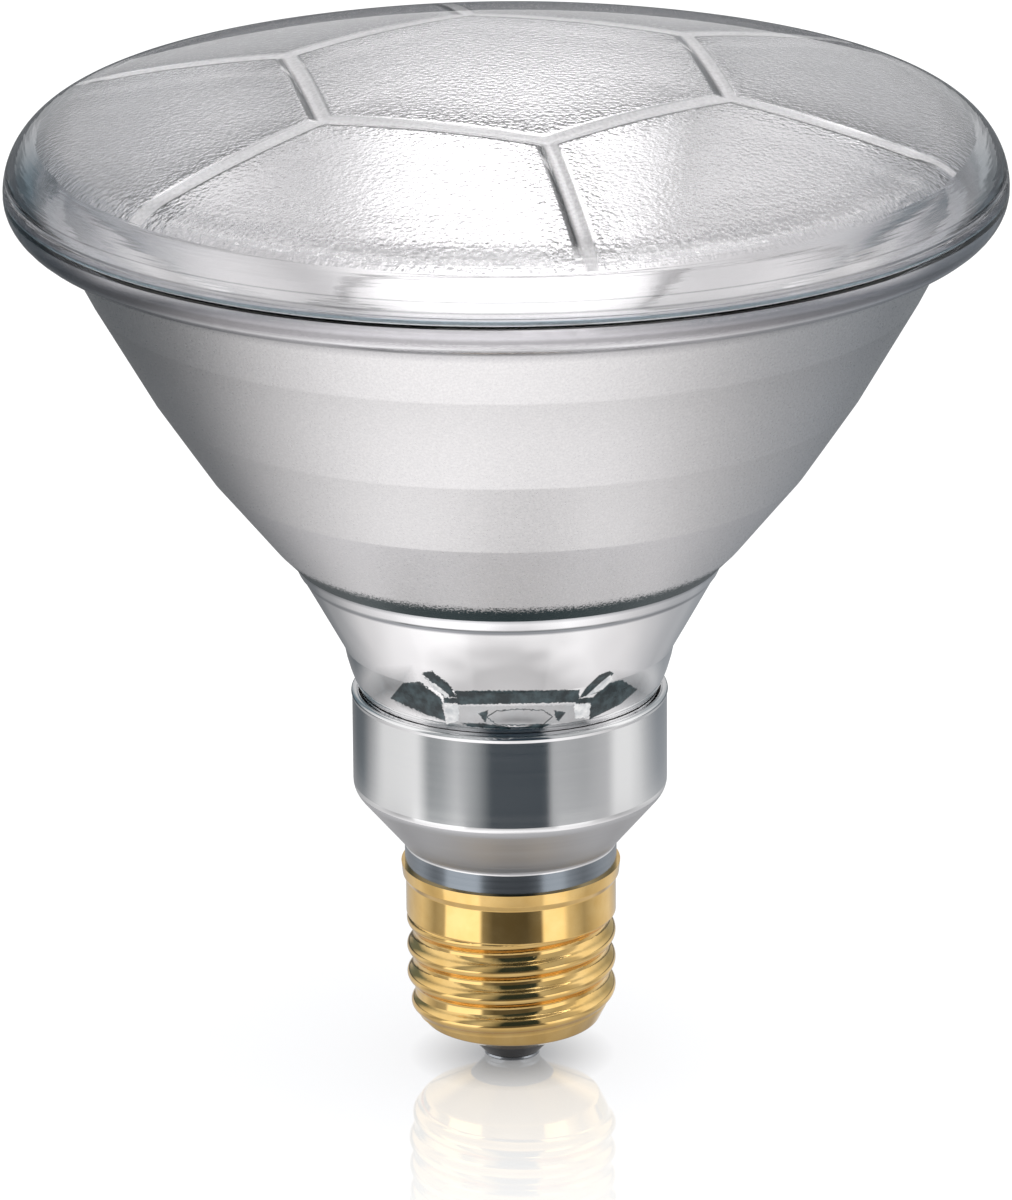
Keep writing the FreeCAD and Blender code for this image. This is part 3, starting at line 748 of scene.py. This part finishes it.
def make_flange():
    """Flange: clear glass with the mirror coat close behind, whose colour holds painted reflected
    lines.
    """
    material, tree, shader = make_clear_glass("flange_glass", 0.02, FLANGE_GLASS_TINT)
    silver = tree.nodes.new("ShaderNodeBsdfPrincipled")
    silver.inputs["Metallic"].default_value = 1.0
    silver.inputs["Coat Weight"].default_value = 0.6
    silver.inputs["Coat Roughness"].default_value = 0.02
    tree.links.new(height_ramp(tree, FLANGE_TINTS, SEAM), silver.inputs["Base Color"])
    vary_roughness(tree, silver, noise(tree, 3 * MM, stretch=(1, 1, 3)), 0.14, 0.24)
    share = spread(tree, noise(tree, 0.5 * MM), 0.82, 0.96)
    set_surface(tree, mix_shaders(tree, share, shader.outputs["BSDF"], silver.outputs["BSDF"]))
    return material


def window_plane(tree):
    """Place on the leaning plane in mm, with a slightly ragged edge and 1 as its third part."""
    across, depth, height = object_place(tree)
    back = product(tree, add_math(tree, "ABSOLUTE", depth), -WINDOW_LEAN)
    leaning = add_math(tree, "ADD", height, back)
    grain = noise(tree, 0.35 * MM, detail=3.0)
    ragged = map_range(tree, grain, 0.0, 1.0, -WINDOW_RAGGED_MM, WINDOW_RAGGED_MM)
    join = tree.nodes.new("ShaderNodeCombineXYZ")
    for socket, name in ((across, "X"), (leaning, "Y")):
        in_mm = add_math(tree, "DIVIDE", socket, MM)
        tree.links.new(add_math(tree, "ADD", in_mm, ragged), join.inputs[name])
    join.inputs["Z"].default_value = 1.0
    return join.outputs["Vector"]


def window_distance(tree, place, corners):
    """Distance in mm outside a convex window, below zero inside."""
    middle = sum((Vector(corner) for corner in corners), Vector((0, 0))) / len(corners)
    distance = None
    for index, corner in enumerate(corners):
        along = Vector(corner) - Vector(corners[index - 1])
        outward = Vector((along.y, -along.x)).normalized()
        if outward.dot(Vector(corner) - middle) < 0:
            outward = -outward
        line = (*outward, -outward.dot(Vector(corner)))
        value = vector_math(tree, "DOT_PRODUCT", place, line).outputs["Value"]
        distance = value if distance is None else add_math(tree, "MAXIMUM", distance, value)
    return distance


def window_share(tree, place, windows, edge=WINDOW_EDGE_MM):
    """Share of all windows at a place, with crisp or soft edges."""
    nearest = None
    for corners in windows:
        distance = window_distance(tree, place, corners)
        nearest = distance if nearest is None else add_math(tree, "MINIMUM", nearest, distance)
    return map_range(tree, nearest, -edge, edge, 1.0, 0.0)


def cloudy_shader(tree, value, low, high, roughness):
    """Socket of a shader whose colour goes from low to high with value."""
    shader = tree.nodes.new("ShaderNodeBsdfPrincipled")
    shader.inputs["Roughness"].default_value = roughness
    tree.links.new(mix_colours(tree, value, low, high), shader.inputs["Base Color"])
    return shader.outputs["BSDF"]


def make_neck_mirror():
    """Neck and heel: glass over the mirror coat, painted dark windows round the ferrules, glints
    and shade.
    """
    material, tree, shader = add_material("neck_mirror", metallic=1.0)
    shader.inputs["Coat Weight"].default_value = 1.0
    shader.inputs["Coat Roughness"].default_value = 0.01
    tree.links.new(height_ramp(tree, NECK_TINTS), shader.inputs["Base Color"])
    wave = noise(tree, 7 * MM, detail=1.0)
    vary_roughness(tree, shader, wave, 0.05, 0.1)
    add_bump(tree, shader, wave, 0.25 * MM, 0.5)
    cloud = noise(tree, 1.2 * MM, detail=3.0)
    dark = cloudy_shader(tree, map_range(tree, cloud, 0.4, 0.7, 0, 1),
                         (0.006, 0.016, 0.02), (0.05, 0.08, 0.09), roughness=0.15)
    glint = cloudy_shader(tree, map_range(tree, cloud, 0.35, 0.65, 0, 1),
                           (0.6, 0.62, 0.64), (0.95, 0.95, 0.95), roughness=0.1)
    place = window_plane(tree)
    to_oval = add_math(tree, "ABSOLUTE", window_distance(tree, place, PINCH_OVAL))
    outline = map_range(tree, to_oval, *OVAL_LINE_MM, OVAL_DARKNESS, 0.0)
    # Dark windows painted with the dark inside seen through them, and the pinch's painted dark
    # outline
    dark_share = add_math(tree, "MAXIMUM", window_share(tree, place, DARK_WINDOWS), outline)
    # Painted grey shade and painted side shade on the coat
    grey = product(tree, window_share(tree, place, PAINTED_GREY_SHADES, GREY_EDGE_MM), GREY_DARKNESS)
    shade = product(tree, window_share(tree, place, SIDE_SHADES, SHADE_EDGE_MM), SHADE_DARKNESS)
    painted_shade_share = add_math(tree, "MAXIMUM", grey, shade)
    coat = mix_shaders(tree, painted_shade_share, shader.outputs["BSDF"], dark)
    coat = mix_shaders(tree, dark_share, coat, dark)
    # Painted glints and bright patches
    coat = mix_shaders(tree, window_share(tree, place, PAINTED_GLINTS), coat, glint)
    set_surface(tree, coat)
    return material


def make_aluminium(name, low, high, roughness):
    """Spun aluminium with faint rings about the axis."""
    material, tree, shader = add_material(name, metallic=1.0)
    rings = noise(tree, 0.4 * MM, stretch=(0.01, 0.01, 1))
    vary_roughness(tree, shader, rings, 0.92 * roughness, 1.08 * roughness)
    tree.links.new(mix_colours(tree, rings, low, high), shader.inputs["Base Color"])
    add_bump(tree, shader, rings, 0.002 * MM, 0.1)
    return material


def make_brass():
    """Polished brass of the screw shell."""
    material, tree, shader = add_material("polished_brass", metallic=1.0)
    cloud = noise(tree, 3 * MM, detail=3.0)
    colour = mix_colours(tree, spread(tree, cloud, 0, 1), (0.80, 0.52, 0.18), (0.90, 0.62, 0.25))
    tree.links.new(colour, shader.inputs["Base Color"])
    vary_roughness(tree, shader, cloud, 0.05, 0.1)
    return material


def make_metal(name, colour, roughness):
    """Plain drawn or cast metal with a cloudy finish."""
    material, tree, shader = add_material(name, metallic=1.0)
    cloud = noise(tree, 0.8 * MM, detail=3.0)
    dark = tuple(0.8 * part for part in colour)
    tree.links.new(mix_colours(tree, cloud, dark, colour), shader.inputs["Base Color"])
    vary_roughness(tree, shader, cloud, 0.8 * roughness, 1.2 * roughness)
    return material


def make_matt(name, colour, size):
    """Rough mineral surface."""
    material, tree, shader = add_material(name)
    grain = noise(tree, size, detail=4.0)
    dark = tuple(0.7 * part for part in colour)
    tree.links.new(mix_colours(tree, grain, dark, colour), shader.inputs["Base Color"])
    shader.inputs["Roughness"].default_value = 0.9
    add_bump(tree, shader, grain, 0.1 * MM)
    return material


def make_black_glass():
    """Glossy black glass of the insulator."""
    material, tree, shader = add_material("black_glass")
    wave = noise(tree, 1.5 * MM)
    colour = mix_colours(tree, wave, (0.006, 0.006, 0.008), (0.014, 0.014, 0.018))
    tree.links.new(colour, shader.inputs["Base Color"])
    shader.inputs["Roughness"].default_value = 0.08
    add_bump(tree, shader, wave, 0.05 * MM, 0.4)
    return material


def set_materials(piece, materials, choose=None):
    """Give the piece its materials; choose returns each face's place in the list."""
    piece.data.materials.clear()
    for material in materials:
        piece.data.materials.append(material)
    if choose is None:
        return
    for face in piece.data.polygons:
        face.material_index = choose(face)


def hexagon_corner(index):
    """Corner of the rib hexagon in plan."""
    turn = math.pi / 2 + HEXAGON_TURN + index * FULL_TURN / HEXAGON_SIDES
    return Vector((math.cos(turn), math.sin(turn))) * HEXAGON_RADIUS


def rib_lines():
    """Ends of the twelve ribs in plan: six sides and six spokes."""
    corners = [hexagon_corner(index) for index in range(HEXAGON_SIDES)]
    sides = [(corners[index - 1], corners[index]) for index in range(HEXAGON_SIDES)]
    reach = (RIM - LENS_WALL) / HEXAGON_RADIUS
    spokes = [(corner, corner * reach) for corner in corners]
    return sides + spokes


RIB_LINES = rib_lines()


def rib_offset(point):
    """Vector in plan from the nearest rib's middle line to a point."""
    offsets = []
    for start, end in RIB_LINES:
        along = end - start
        share = (point - start).dot(along) / along.length_squared
        share = min(1.0, max(0.0, share))
        offsets.append(point - start - along * share)
    return min(offsets, key=lambda offset: offset.length)


def rib_distance(point):
    """Distance in plan from a point to the nearest rib's middle line."""
    return rib_offset(point).length


def inner_height(point):
    """Height of the lens's inner face over a point in plan."""
    radius = point.length
    sphere = DOME_RADIUS - LENS_WALL
    height = DOME_CENTRE + math.sqrt(sphere**2 - radius**2)
    distance = rib_distance(point)
    half = RIB_WIDTH / 2
    flank = 0.5 + 0.5 * math.cos(math.pi * min(1.0, distance / half))
    room = max(0.0, join_radius() - radius)
    crown = PANE_CROWN * (1 - math.exp(-max(0.0, distance - half) / PANE_CROWN_REACH))
    rib = min(1.0, room / RIB_RUN_OUT) * RIB_DEPTH * flank
    return height - rib - min(1.0, room / PANE_CROWN_RUN_OUT) * crown


def join_angle():
    """Angle from the vertical at which the dome runs into the shoulder."""
    return math.asin(SHOULDER_CENTRE / (DOME_RADIUS - LENS_SHOULDER_RADIUS))


def join_radius():
    """Radius at which the inner face runs into the inner shoulder."""
    return SHOULDER_CENTRE + (LENS_SHOULDER_RADIUS - LENS_WALL) * math.sin(join_angle())


def ring_profile():
    """Section of the lens outside its inner face, from the apex round to the inner join."""
    join = join_angle()
    quarter = math.pi / 2
    dome = [(DOME_RADIUS * math.sin(a), DOME_CENTRE + DOME_RADIUS * math.cos(a))
            for a in (join * step / DOME_STEPS for step in range(1, DOME_STEPS + 1))]
    end = quarter - math.asin(SEAM_ROUNDING / LENS_SHOULDER_RADIUS)
    shoulder = [arc_point(join + (end - join) * step / SHOULDER_STEPS, LENS_SHOULDER_RADIUS)
                for step in range(1, SHOULDER_STEPS + 1)]
    foot = SEAM + SEAM_GAP
    edge = [(RIM - SEAM_ROUNDING, foot), (RIM - LENS_WALL, foot)]
    inner_radius = LENS_SHOULDER_RADIUS - LENS_WALL
    inner = [arc_point(quarter + (join - quarter) * step / INNER_SHOULDER_STEPS, inner_radius)
             for step in range(1, INNER_SHOULDER_STEPS + 1)]
    return dome + shoulder + edge + inner


def arc_point(angle, radius):
    """Section point on an arc about the shoulder's centre."""
    return (SHOULDER_CENTRE + radius * math.sin(angle), SEAM + radius * math.cos(angle))


def inner_plan_points():
    """Points in plan for the inner face: rows along the ribs and a grid over the panes."""
    limit = join_radius() - JOIN_MARGIN
    points = []
    offsets = [row * RIB_WIDTH / ROWS_PER_WIDTH for row in range(-RIB_ROWS, RIB_ROWS + 1)]
    for start, end in RIB_LINES:
        along = end - start
        across = Vector((-along.y, along.x)).normalized()
        steps = round(along.length / RIB_STEP)
        for step in range(steps + 1):
            for offset in offsets:
                point = start + along * (step / steps) + across * offset
                if point.length < limit:
                    points.append(point)
    count = int(limit / PANE_PITCH) + 1
    for row in range(-count, count + 1):
        for column in range(-count, count + 1):
            place = Vector((column + 0.5 * (row % 2), row * PANE_ROW_RISE))
            point = place * PANE_PITCH
            if point.length < limit and rib_distance(point) > PANE_MARGIN:
                points.append(point)
    return points


def add_mesh(name, mesh_builder):
    """New object from a finished bmesh, smooth shaded."""
    mesh = bpy.data.meshes.new(name)
    mesh_builder.to_mesh(mesh)
    mesh_builder.free()
    piece = bpy.data.objects.new(name, mesh)
    bpy.context.scene.collection.objects.link(piece)
    for face in mesh.polygons:
        face.use_smooth = True
    return piece


def turned_rings(builder):
    """Add the turned part of the lens, and return its innermost ring of points."""
    angles = [FULL_TURN * step / LENS_SEGMENTS for step in range(LENS_SEGMENTS)]
    rings = []
    for radius, height in ring_profile():
        ring = [builder.verts.new((radius * math.cos(a), radius * math.sin(a), height))
                for a in angles]
        rings.append(ring)
    apex = builder.verts.new((0, 0, DOME_CENTRE + DOME_RADIUS))
    for index in range(LENS_SEGMENTS):
        builder.faces.new((apex, rings[0][index - 1], rings[0][index]))
        for upper, lower in zip(rings, rings[1:]):
            builder.faces.new((upper[index - 1], lower[index - 1], lower[index], upper[index]))
    return rings[-1]


def add_inner_face(builder, ring):
    """Close the lens inside its innermost ring with the ribbed and crowned face."""
    border = [Vector((vertex.co.x, vertex.co.y)) for vertex in ring]
    plan = border + inner_plan_points()
    edges = [(index, (index + 1) % LENS_SEGMENTS) for index in range(LENS_SEGMENTS)]
    filled = geometry.delaunay_2d_cdt(plan, edges, [], INSIDE_BORDER, MERGE_DISTANCE)
    points, _, faces, origins, _, _ = filled
    corners = []
    for point, origin in zip(points, origins):
        if origin and min(origin) < LENS_SEGMENTS:
            corners.append(ring[min(origin)])
        else:
            corners.append(builder.verts.new((point.x, point.y, inner_height(point))))
    for face in faces:
        builder.faces.new([corners[index] for index in reversed(face)])


def make_lens():
    """Lens as one closed mesh: turned outside, ribbed and crowned inside."""
    builder = bmesh.new()
    place_layer = builder.verts.layers.float.new("rib_place")
    side_layer = builder.verts.layers.float.new("rib_side")
    add_inner_face(builder, turned_rings(builder))
    for vertex in builder.verts:
        offset = rib_offset(vertex.co.xy)
        vertex[place_layer] = offset.length / MM
        vertex[side_layer] = offset.dot(RIB_SHADE) / MM
    bmesh.ops.recalc_face_normals(builder, faces=builder.faces)
    return add_mesh("lens", builder)


def dress_lens(smooth, seam):
    """Lens with its smooth outside, stippled and ribbed inner face, rim and fused foot."""
    lens = make_lens()
    inside = join_radius()
    outer, inner, foot, rim = range(4)

    def choose(face):
        radius = face.center.xy.length
        if face.normal.z < DOWNWARD and face.center.z < SEAM + SEAM_MARGIN:
            return foot
        if face.normal.z < 0 and radius < inside + INNER_MARGIN:
            return inner
        if radius > inside and face.normal.xy.dot(face.center.xy) > 0:
            return rim
        return outer

    set_materials(lens, [smooth, make_inner_glass(), seam, make_rim_glass()], choose)
    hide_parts("front_lens")
    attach(lens, "root")


def dress_bowl(smooth, seam):
    """Bowl in its zones: frosted bands, mirror, mirrored neck and clear glass."""
    clear, frosted, mirror, neck, fused, flange = range(6)

    def choose(face):
        height = face.center.z
        outward = face.normal.xy.dot(face.center.xy) > 0
        if face.normal.z > UPWARD and height > SEAM - SEAM_MARGIN:
            return fused
        if outward and FLANGE_BOTTOM - FLANGE_MARGIN < height < SEAM - FLANGE_ROUNDING:
            return flange
        if outward and BOWL_BOTTOM < height < FLANGE_BOTTOM:
            return frosted
        if outward and HEEL_BOTTOM < height < BOWL_BOTTOM and face.center.xy.length > NECK_INSIDE:
            return neck
        if not outward and MIRROR_BOTTOM < height < MIRROR_TOP + MIRROR_MARGIN:
            return mirror
        return clear

    zones = [smooth, make_frosted_mirror(), make_mirror(), make_neck_mirror(), seam,
             make_flange()]
    set_materials(NODES["reflector_bowl"], zones, choose)


def dress_nodes():
    """Finish of the pieces that keep their solids."""
    brass = make_brass()
    wire = make_metal("nickel_wire", (0.62, 0.61, 0.58), 0.3)
    tungsten = make_metal("tungsten", (0.42, 0.42, 0.44), 0.35)
    ferrule = make_metal("ferrule_metal", (0.2, 0.22, 0.23), 0.35)
    solder = make_metal("solder", (0.6, 0.6, 0.61), 0.3)
    quartz = make_clear_glass("quartz")[0]
    finishes = {
        "screw_shell": brass,
        "insulator": make_black_glass(),
        "centre_contact": make_metal("contact_metal", (0.42, 0.44, 0.47), 0.3),
        "contact_solder": solder,
        "shell_solder": solder,
        "heel_cement": make_matt("cement", (0.42, 0.41, 0.39), 0.6 * MM),
        "fuse_sleeve": make_matt("glass_fibre", (0.85, 0.84, 0.8), 0.3 * MM),
        "contact_lead": wire,
        "shell_lead": wire,
        "burner_envelope": quartz,
        "filament_coil": tungsten,
    }
    for side in ("left", "right"):
        finishes["ferrule_" + side] = ferrule
        finishes["burner_post_" + side] = wire
        finishes["burner_pin_" + side] = tungsten
        finishes["sealing_foil_" + side] = make_metal("foil_" + side, (0.55, 0.55, 0.57), 0.3)
        finishes["inner_lead_" + side] = tungsten
    for name, material in finishes.items():
        set_materials(NODES[name], [material])
    skirt_finishes = [
        make_aluminium("spun_aluminium", (0.83, 0.83, 0.84), (0.87, 0.87, 0.87), 0.13),
        # Satin aluminium of the cone's underside: its rough finish is its own, its darker colour
        # a painted shade
        make_aluminium("satin_aluminium", (0.56, 0.565, 0.58), (0.64, 0.645, 0.655), 0.42),
        # Collar: its dark colour is a painted shade under the cone and a painted dark reflection
        make_aluminium("collar_metal", (0.22, 0.25, 0.28), (0.30, 0.33, 0.37), 0.2),
    ]
    spun, satin, collar = range(3)

    def choose(face):
        if face.center.z < COLLAR_TOP:
            return collar
        if face.center.z < CONE_TOP and face.normal.z < UNDERSIDE:
            return satin
        return spun

    set_materials(NODES["skirt"], skirt_finishes, choose)


def add_floor_plane():
    """Large square at the height of the contact."""
    builder = bmesh.new()
    half = FLOOR_SIZE / 2
    corners = [(-half, -half), (half, -half), (half, half), (-half, half)]
    builder.faces.new([builder.verts.new((x, y, 0)) for x, y in corners])
    floor = add_mesh("floor", builder)
    return floor


def add_shaders(tree, first, second):
    """Sum of two shader sockets."""
    node = tree.nodes.new("ShaderNodeAddShader")
    tree.links.new(first, node.inputs[0])
    tree.links.new(second, node.inputs[1])
    return node.outputs["Shader"]


def floor_to_camera(tree, reach):
    """Floor as the camera sees it: white, a mirror near the contact and a painted shadow under
    it.
    """
    near = map_range(tree, reach, *FLOOR_MIRROR_REACH, FLOOR_MIRROR_NEAR, FLOOR_MIRROR_FAR)
    glow = map_range(tree, near, 0.0, FLOOR_MIRROR_NEAR, *FLOOR_GLOW)
    lit = diffuse_shader(tree, FLOOR_GREY)
    white = add_shaders(tree, lit, glow_shader(tree, glow, FLOOR_GREY))
    mirror = glossy_shader(tree, FLOOR_MIRROR_ROUGHNESS, FLOOR_MIRROR_TINT)
    seen = mix_shaders(tree, near, white, mirror)
    # Painted shadow under the contact
    contact_shadow = map_range(tree, reach, *CONTACT_SHADOW_REACH, CONTACT_SHADOW_DARKNESS, 0.0)
    return mix_shaders(tree, contact_shadow, seen, diffuse_shader(tree, CONTACT_SHADOW_TINT))


def floor_level(tree, reach, from_pool):
    """Level of the floor's glow: shade, pool, flag, lift at the right and dip ahead."""
    across, depth, _ = object_place(tree)
    shade = level_ramp(tree, reach, SHADE_LEVELS)
    pool = level_ramp(tree, from_pool, POOL_LEVELS)
    flag_way = vector_math(tree, "DOT_PRODUCT", object_coordinates(tree), FLAG_WAY)
    flag = map_range(tree, flag_way.outputs["Value"], *FLAG_REACH, 1.0, FLAG_LEVEL)
    lift = product(tree, map_range(tree, across, *LIFT_ACROSS, 0.0, LIFT_MOST),
                   map_range(tree, reach, *LIFT_REACH, 1.0, LIFT_BEYOND))
    off_dip = add_math(tree, "ABSOLUTE", add_math(tree, "SUBTRACT", across, DIP_SIDE))
    dip = product(tree, map_range(tree, off_dip, *DIP_ACROSS, 1.0, 0.0),
                  map_range(tree, depth, *DIP_DEPTH, 1.0, 0.0),
                  level_ramp(tree, reach, DIP_LEVELS))
    lifted = add_math(tree, "ADD", lift, 1.0)
    return product(tree, shade, pool, flag, lifted, map_range(tree, dip, 0.0, 1.0, 1.0, 0.0))


def floor_in_mirrors(tree, reach):
    """Floor as metal and glass see it: a pool of light, and cards at a grazing angle."""
    pool_space = tree.nodes.new("ShaderNodeMapping")
    pool_space.vector_type = "TEXTURE"
    pool_space.inputs["Location"].default_value = POOL_CENTRE
    pool_space.inputs["Scale"].default_value = [1 / part for part in POOL_STRETCH]
    tree.links.new(object_coordinates(tree), pool_space.inputs["Vector"])
    from_pool = vector_math(tree, "LENGTH", pool_space.outputs["Vector"]).outputs["Value"]
    far = add_math(tree, "DIVIDE", from_pool, POOL_LEVELS[-1][0])
    tint = colour_ramp(tree, far, POOL_TINTS)
    pool = glow_shader(tree, floor_level(tree, reach, from_pool), tint)
    across, depth, _ = object_place(tree)
    level = grey_ramp(tree, azimuth_place(tree, across, depth), turn_steps(CARD_LEVELS))
    close = map_range(tree, reach, *CARD_REACH, 1.0, 0.0)
    gloss = glossy_shader(tree, FLOOR_ROUGHNESS)
    cards = mix_shaders(tree, close, gloss, glow_shader(tree, level, WHITE))
    facing = tree.nodes.new("ShaderNodeLayerWeight").outputs["Facing"]
    grazing = product(tree, map_range(tree, facing, *GRAZING_FACING, *GRAZING_SHARE),
                      map_range(tree, depth, *GRAZING_DEPTH, 1.0, GRAZING_BEHIND))
    return mix_shaders(tree, grazing, pool, cards)


def make_floor():
    """White glossy floor, on which only a near reflection of the lamp shows."""
    floor = add_floor_plane()
    material, tree, _ = add_material("floor_white")
    reach = vector_math(tree, "LENGTH", object_coordinates(tree)).outputs["Value"]
    path = tree.nodes.new("ShaderNodeLightPath")
    plain = diffuse_shader(tree, PLAIN_FLOOR)
    other = mix_shaders(tree, mirrored_ray(tree, path), plain, floor_in_mirrors(tree, reach))
    seen = floor_to_camera(tree, reach)
    set_surface(tree, mix_shaders(tree, path.outputs["Is Camera Ray"], other, seen))
    set_materials(floor, [material])


def panel_share(tree, depth, height, through):
    """Share of the overhead panel by direction, in mirrors and through glass."""
    start = map_range(tree, through, 0.0, 1.0, PANEL_IN_MIRRORS[0], PANEL_THROUGH_GLASS[0])
    in_mirrors = map_range(tree, through, 0.0, 1.0, PANEL_IN_MIRRORS[1], 0.0)
    ahead = map_range(tree, depth, *PANEL_AHEAD, PANEL_FULL_AHEAD, PANEL_THROUGH_GLASS[1])
    full = add_math(tree, "ADD", product(tree, ahead, through), in_mirrors)
    return map_range(tree, height, start, full, 0.0, 1.0)


def make_world():
    """Soft studio surroundings: white to the camera, softboxes and dark flags to the object."""
    world = bpy.data.worlds.new("studio")
    world.use_nodes = True
    bpy.context.scene.world = world
    tree = world.node_tree
    direction = tree.nodes.new("ShaderNodeTexCoord").outputs["Generated"]
    across, depth, height = split_vector(tree, direction)
    path = tree.nodes.new("ShaderNodeLightPath")
    through = path.outputs["Is Transmission Ray"]
    turn = azimuth_place(tree, across, depth)
    horizon = colour_ramp(tree, turn, turn_steps(STUDIO_HORIZON))
    off_middle = add_math(tree, "ABSOLUTE", across)
    aside = map_range(tree, off_middle, *PANEL_SIDES, 1.0, PANEL_SIDE_LEVEL)
    dimmed = product(tree, map_range(tree, through, 0.0, 1.0, MIRRORED_TOP, 1.0),
                     level_ramp(tree, height, ZENITH_LEVELS))
    top = tree.nodes.new("ShaderNodeVectorMath")
    top.operation = "SCALE"
    top.inputs[0].default_value = STUDIO_TOP
    tree.links.new(product(tree, aside, dimmed), top.inputs["Scale"])
    panel = panel_share(tree, depth, height, through)
    studio = mix_node(tree, panel, horizon, top.outputs["Vector"])
    seen = mix_node(tree, mirrored_ray(tree, path), WHITE, studio.outputs["Result"])
    tree.links.new(seen.outputs["Result"], tree.nodes["Background"].inputs["Color"])


def make_lamp():
    """Softbox overhead, whose light casts the shadow on the floor."""
    light = bpy.data.lights.new("overhead", "AREA")
    light.shape = "RECTANGLE"
    light.size = LAMP_SIDE
    light.size_y = LAMP_SIDE
    light.energy = LAMP_POWER
    lamp = bpy.data.objects.new("overhead", light)
    lamp.location = LAMP_PLACE
    way = Vector(LAMP_PLACE) - Vector(LAMP_TARGET)
    lamp.rotation_euler = way.to_track_quat("Z", "Y").to_euler()
    lamp.visible_transmission = False
    bpy.context.scene.collection.objects.link(lamp)


def make_camera():
    """Camera at the photograph's place, with its small roll and shift."""
    data = bpy.data.cameras.new("camera")
    camera = bpy.data.objects.new("camera", data)
    bpy.context.scene.collection.objects.link(camera)
    bpy.context.scene.camera = camera
    data.sensor_width = SENSOR_MM
    data.lens = CAMERA_FOCAL_PX * SENSOR_MM / PHOTO_HEIGHT_PX
    data.shift_x = -CAMERA_SHIFT_PX / PHOTO_HEIGHT_PX
    data.clip_start = CAMERA_CLIP_START
    back = Vector((0, -math.cos(CAMERA_ELEVATION), math.sin(CAMERA_ELEVATION)))
    camera.location = Vector((0, 0, CAMERA_TARGET_HEIGHT)) + back * CAMERA_DISTANCE
    turn = back.to_track_quat("Z", "Y").to_matrix()
    camera.rotation_euler = (turn @ Matrix.Rotation(-CAMERA_ROLL, 3, "Z")).to_euler()


def main():
    """Dress the solids, add the pieces and set the stage."""
    smooth = make_smooth_glass()
    seam = make_seam()
    dress_lens(smooth, seam)
    dress_bowl(smooth, seam)
    dress_nodes()
    make_floor()
    make_world()
    make_lamp()
    make_camera()
    scene = bpy.context.scene
    scene.view_settings.view_transform = "Standard"
    scene.cycles.use_denoising = True
    scene.cycles.glossy_bounces = GLOSSY_BOUNCES


main()
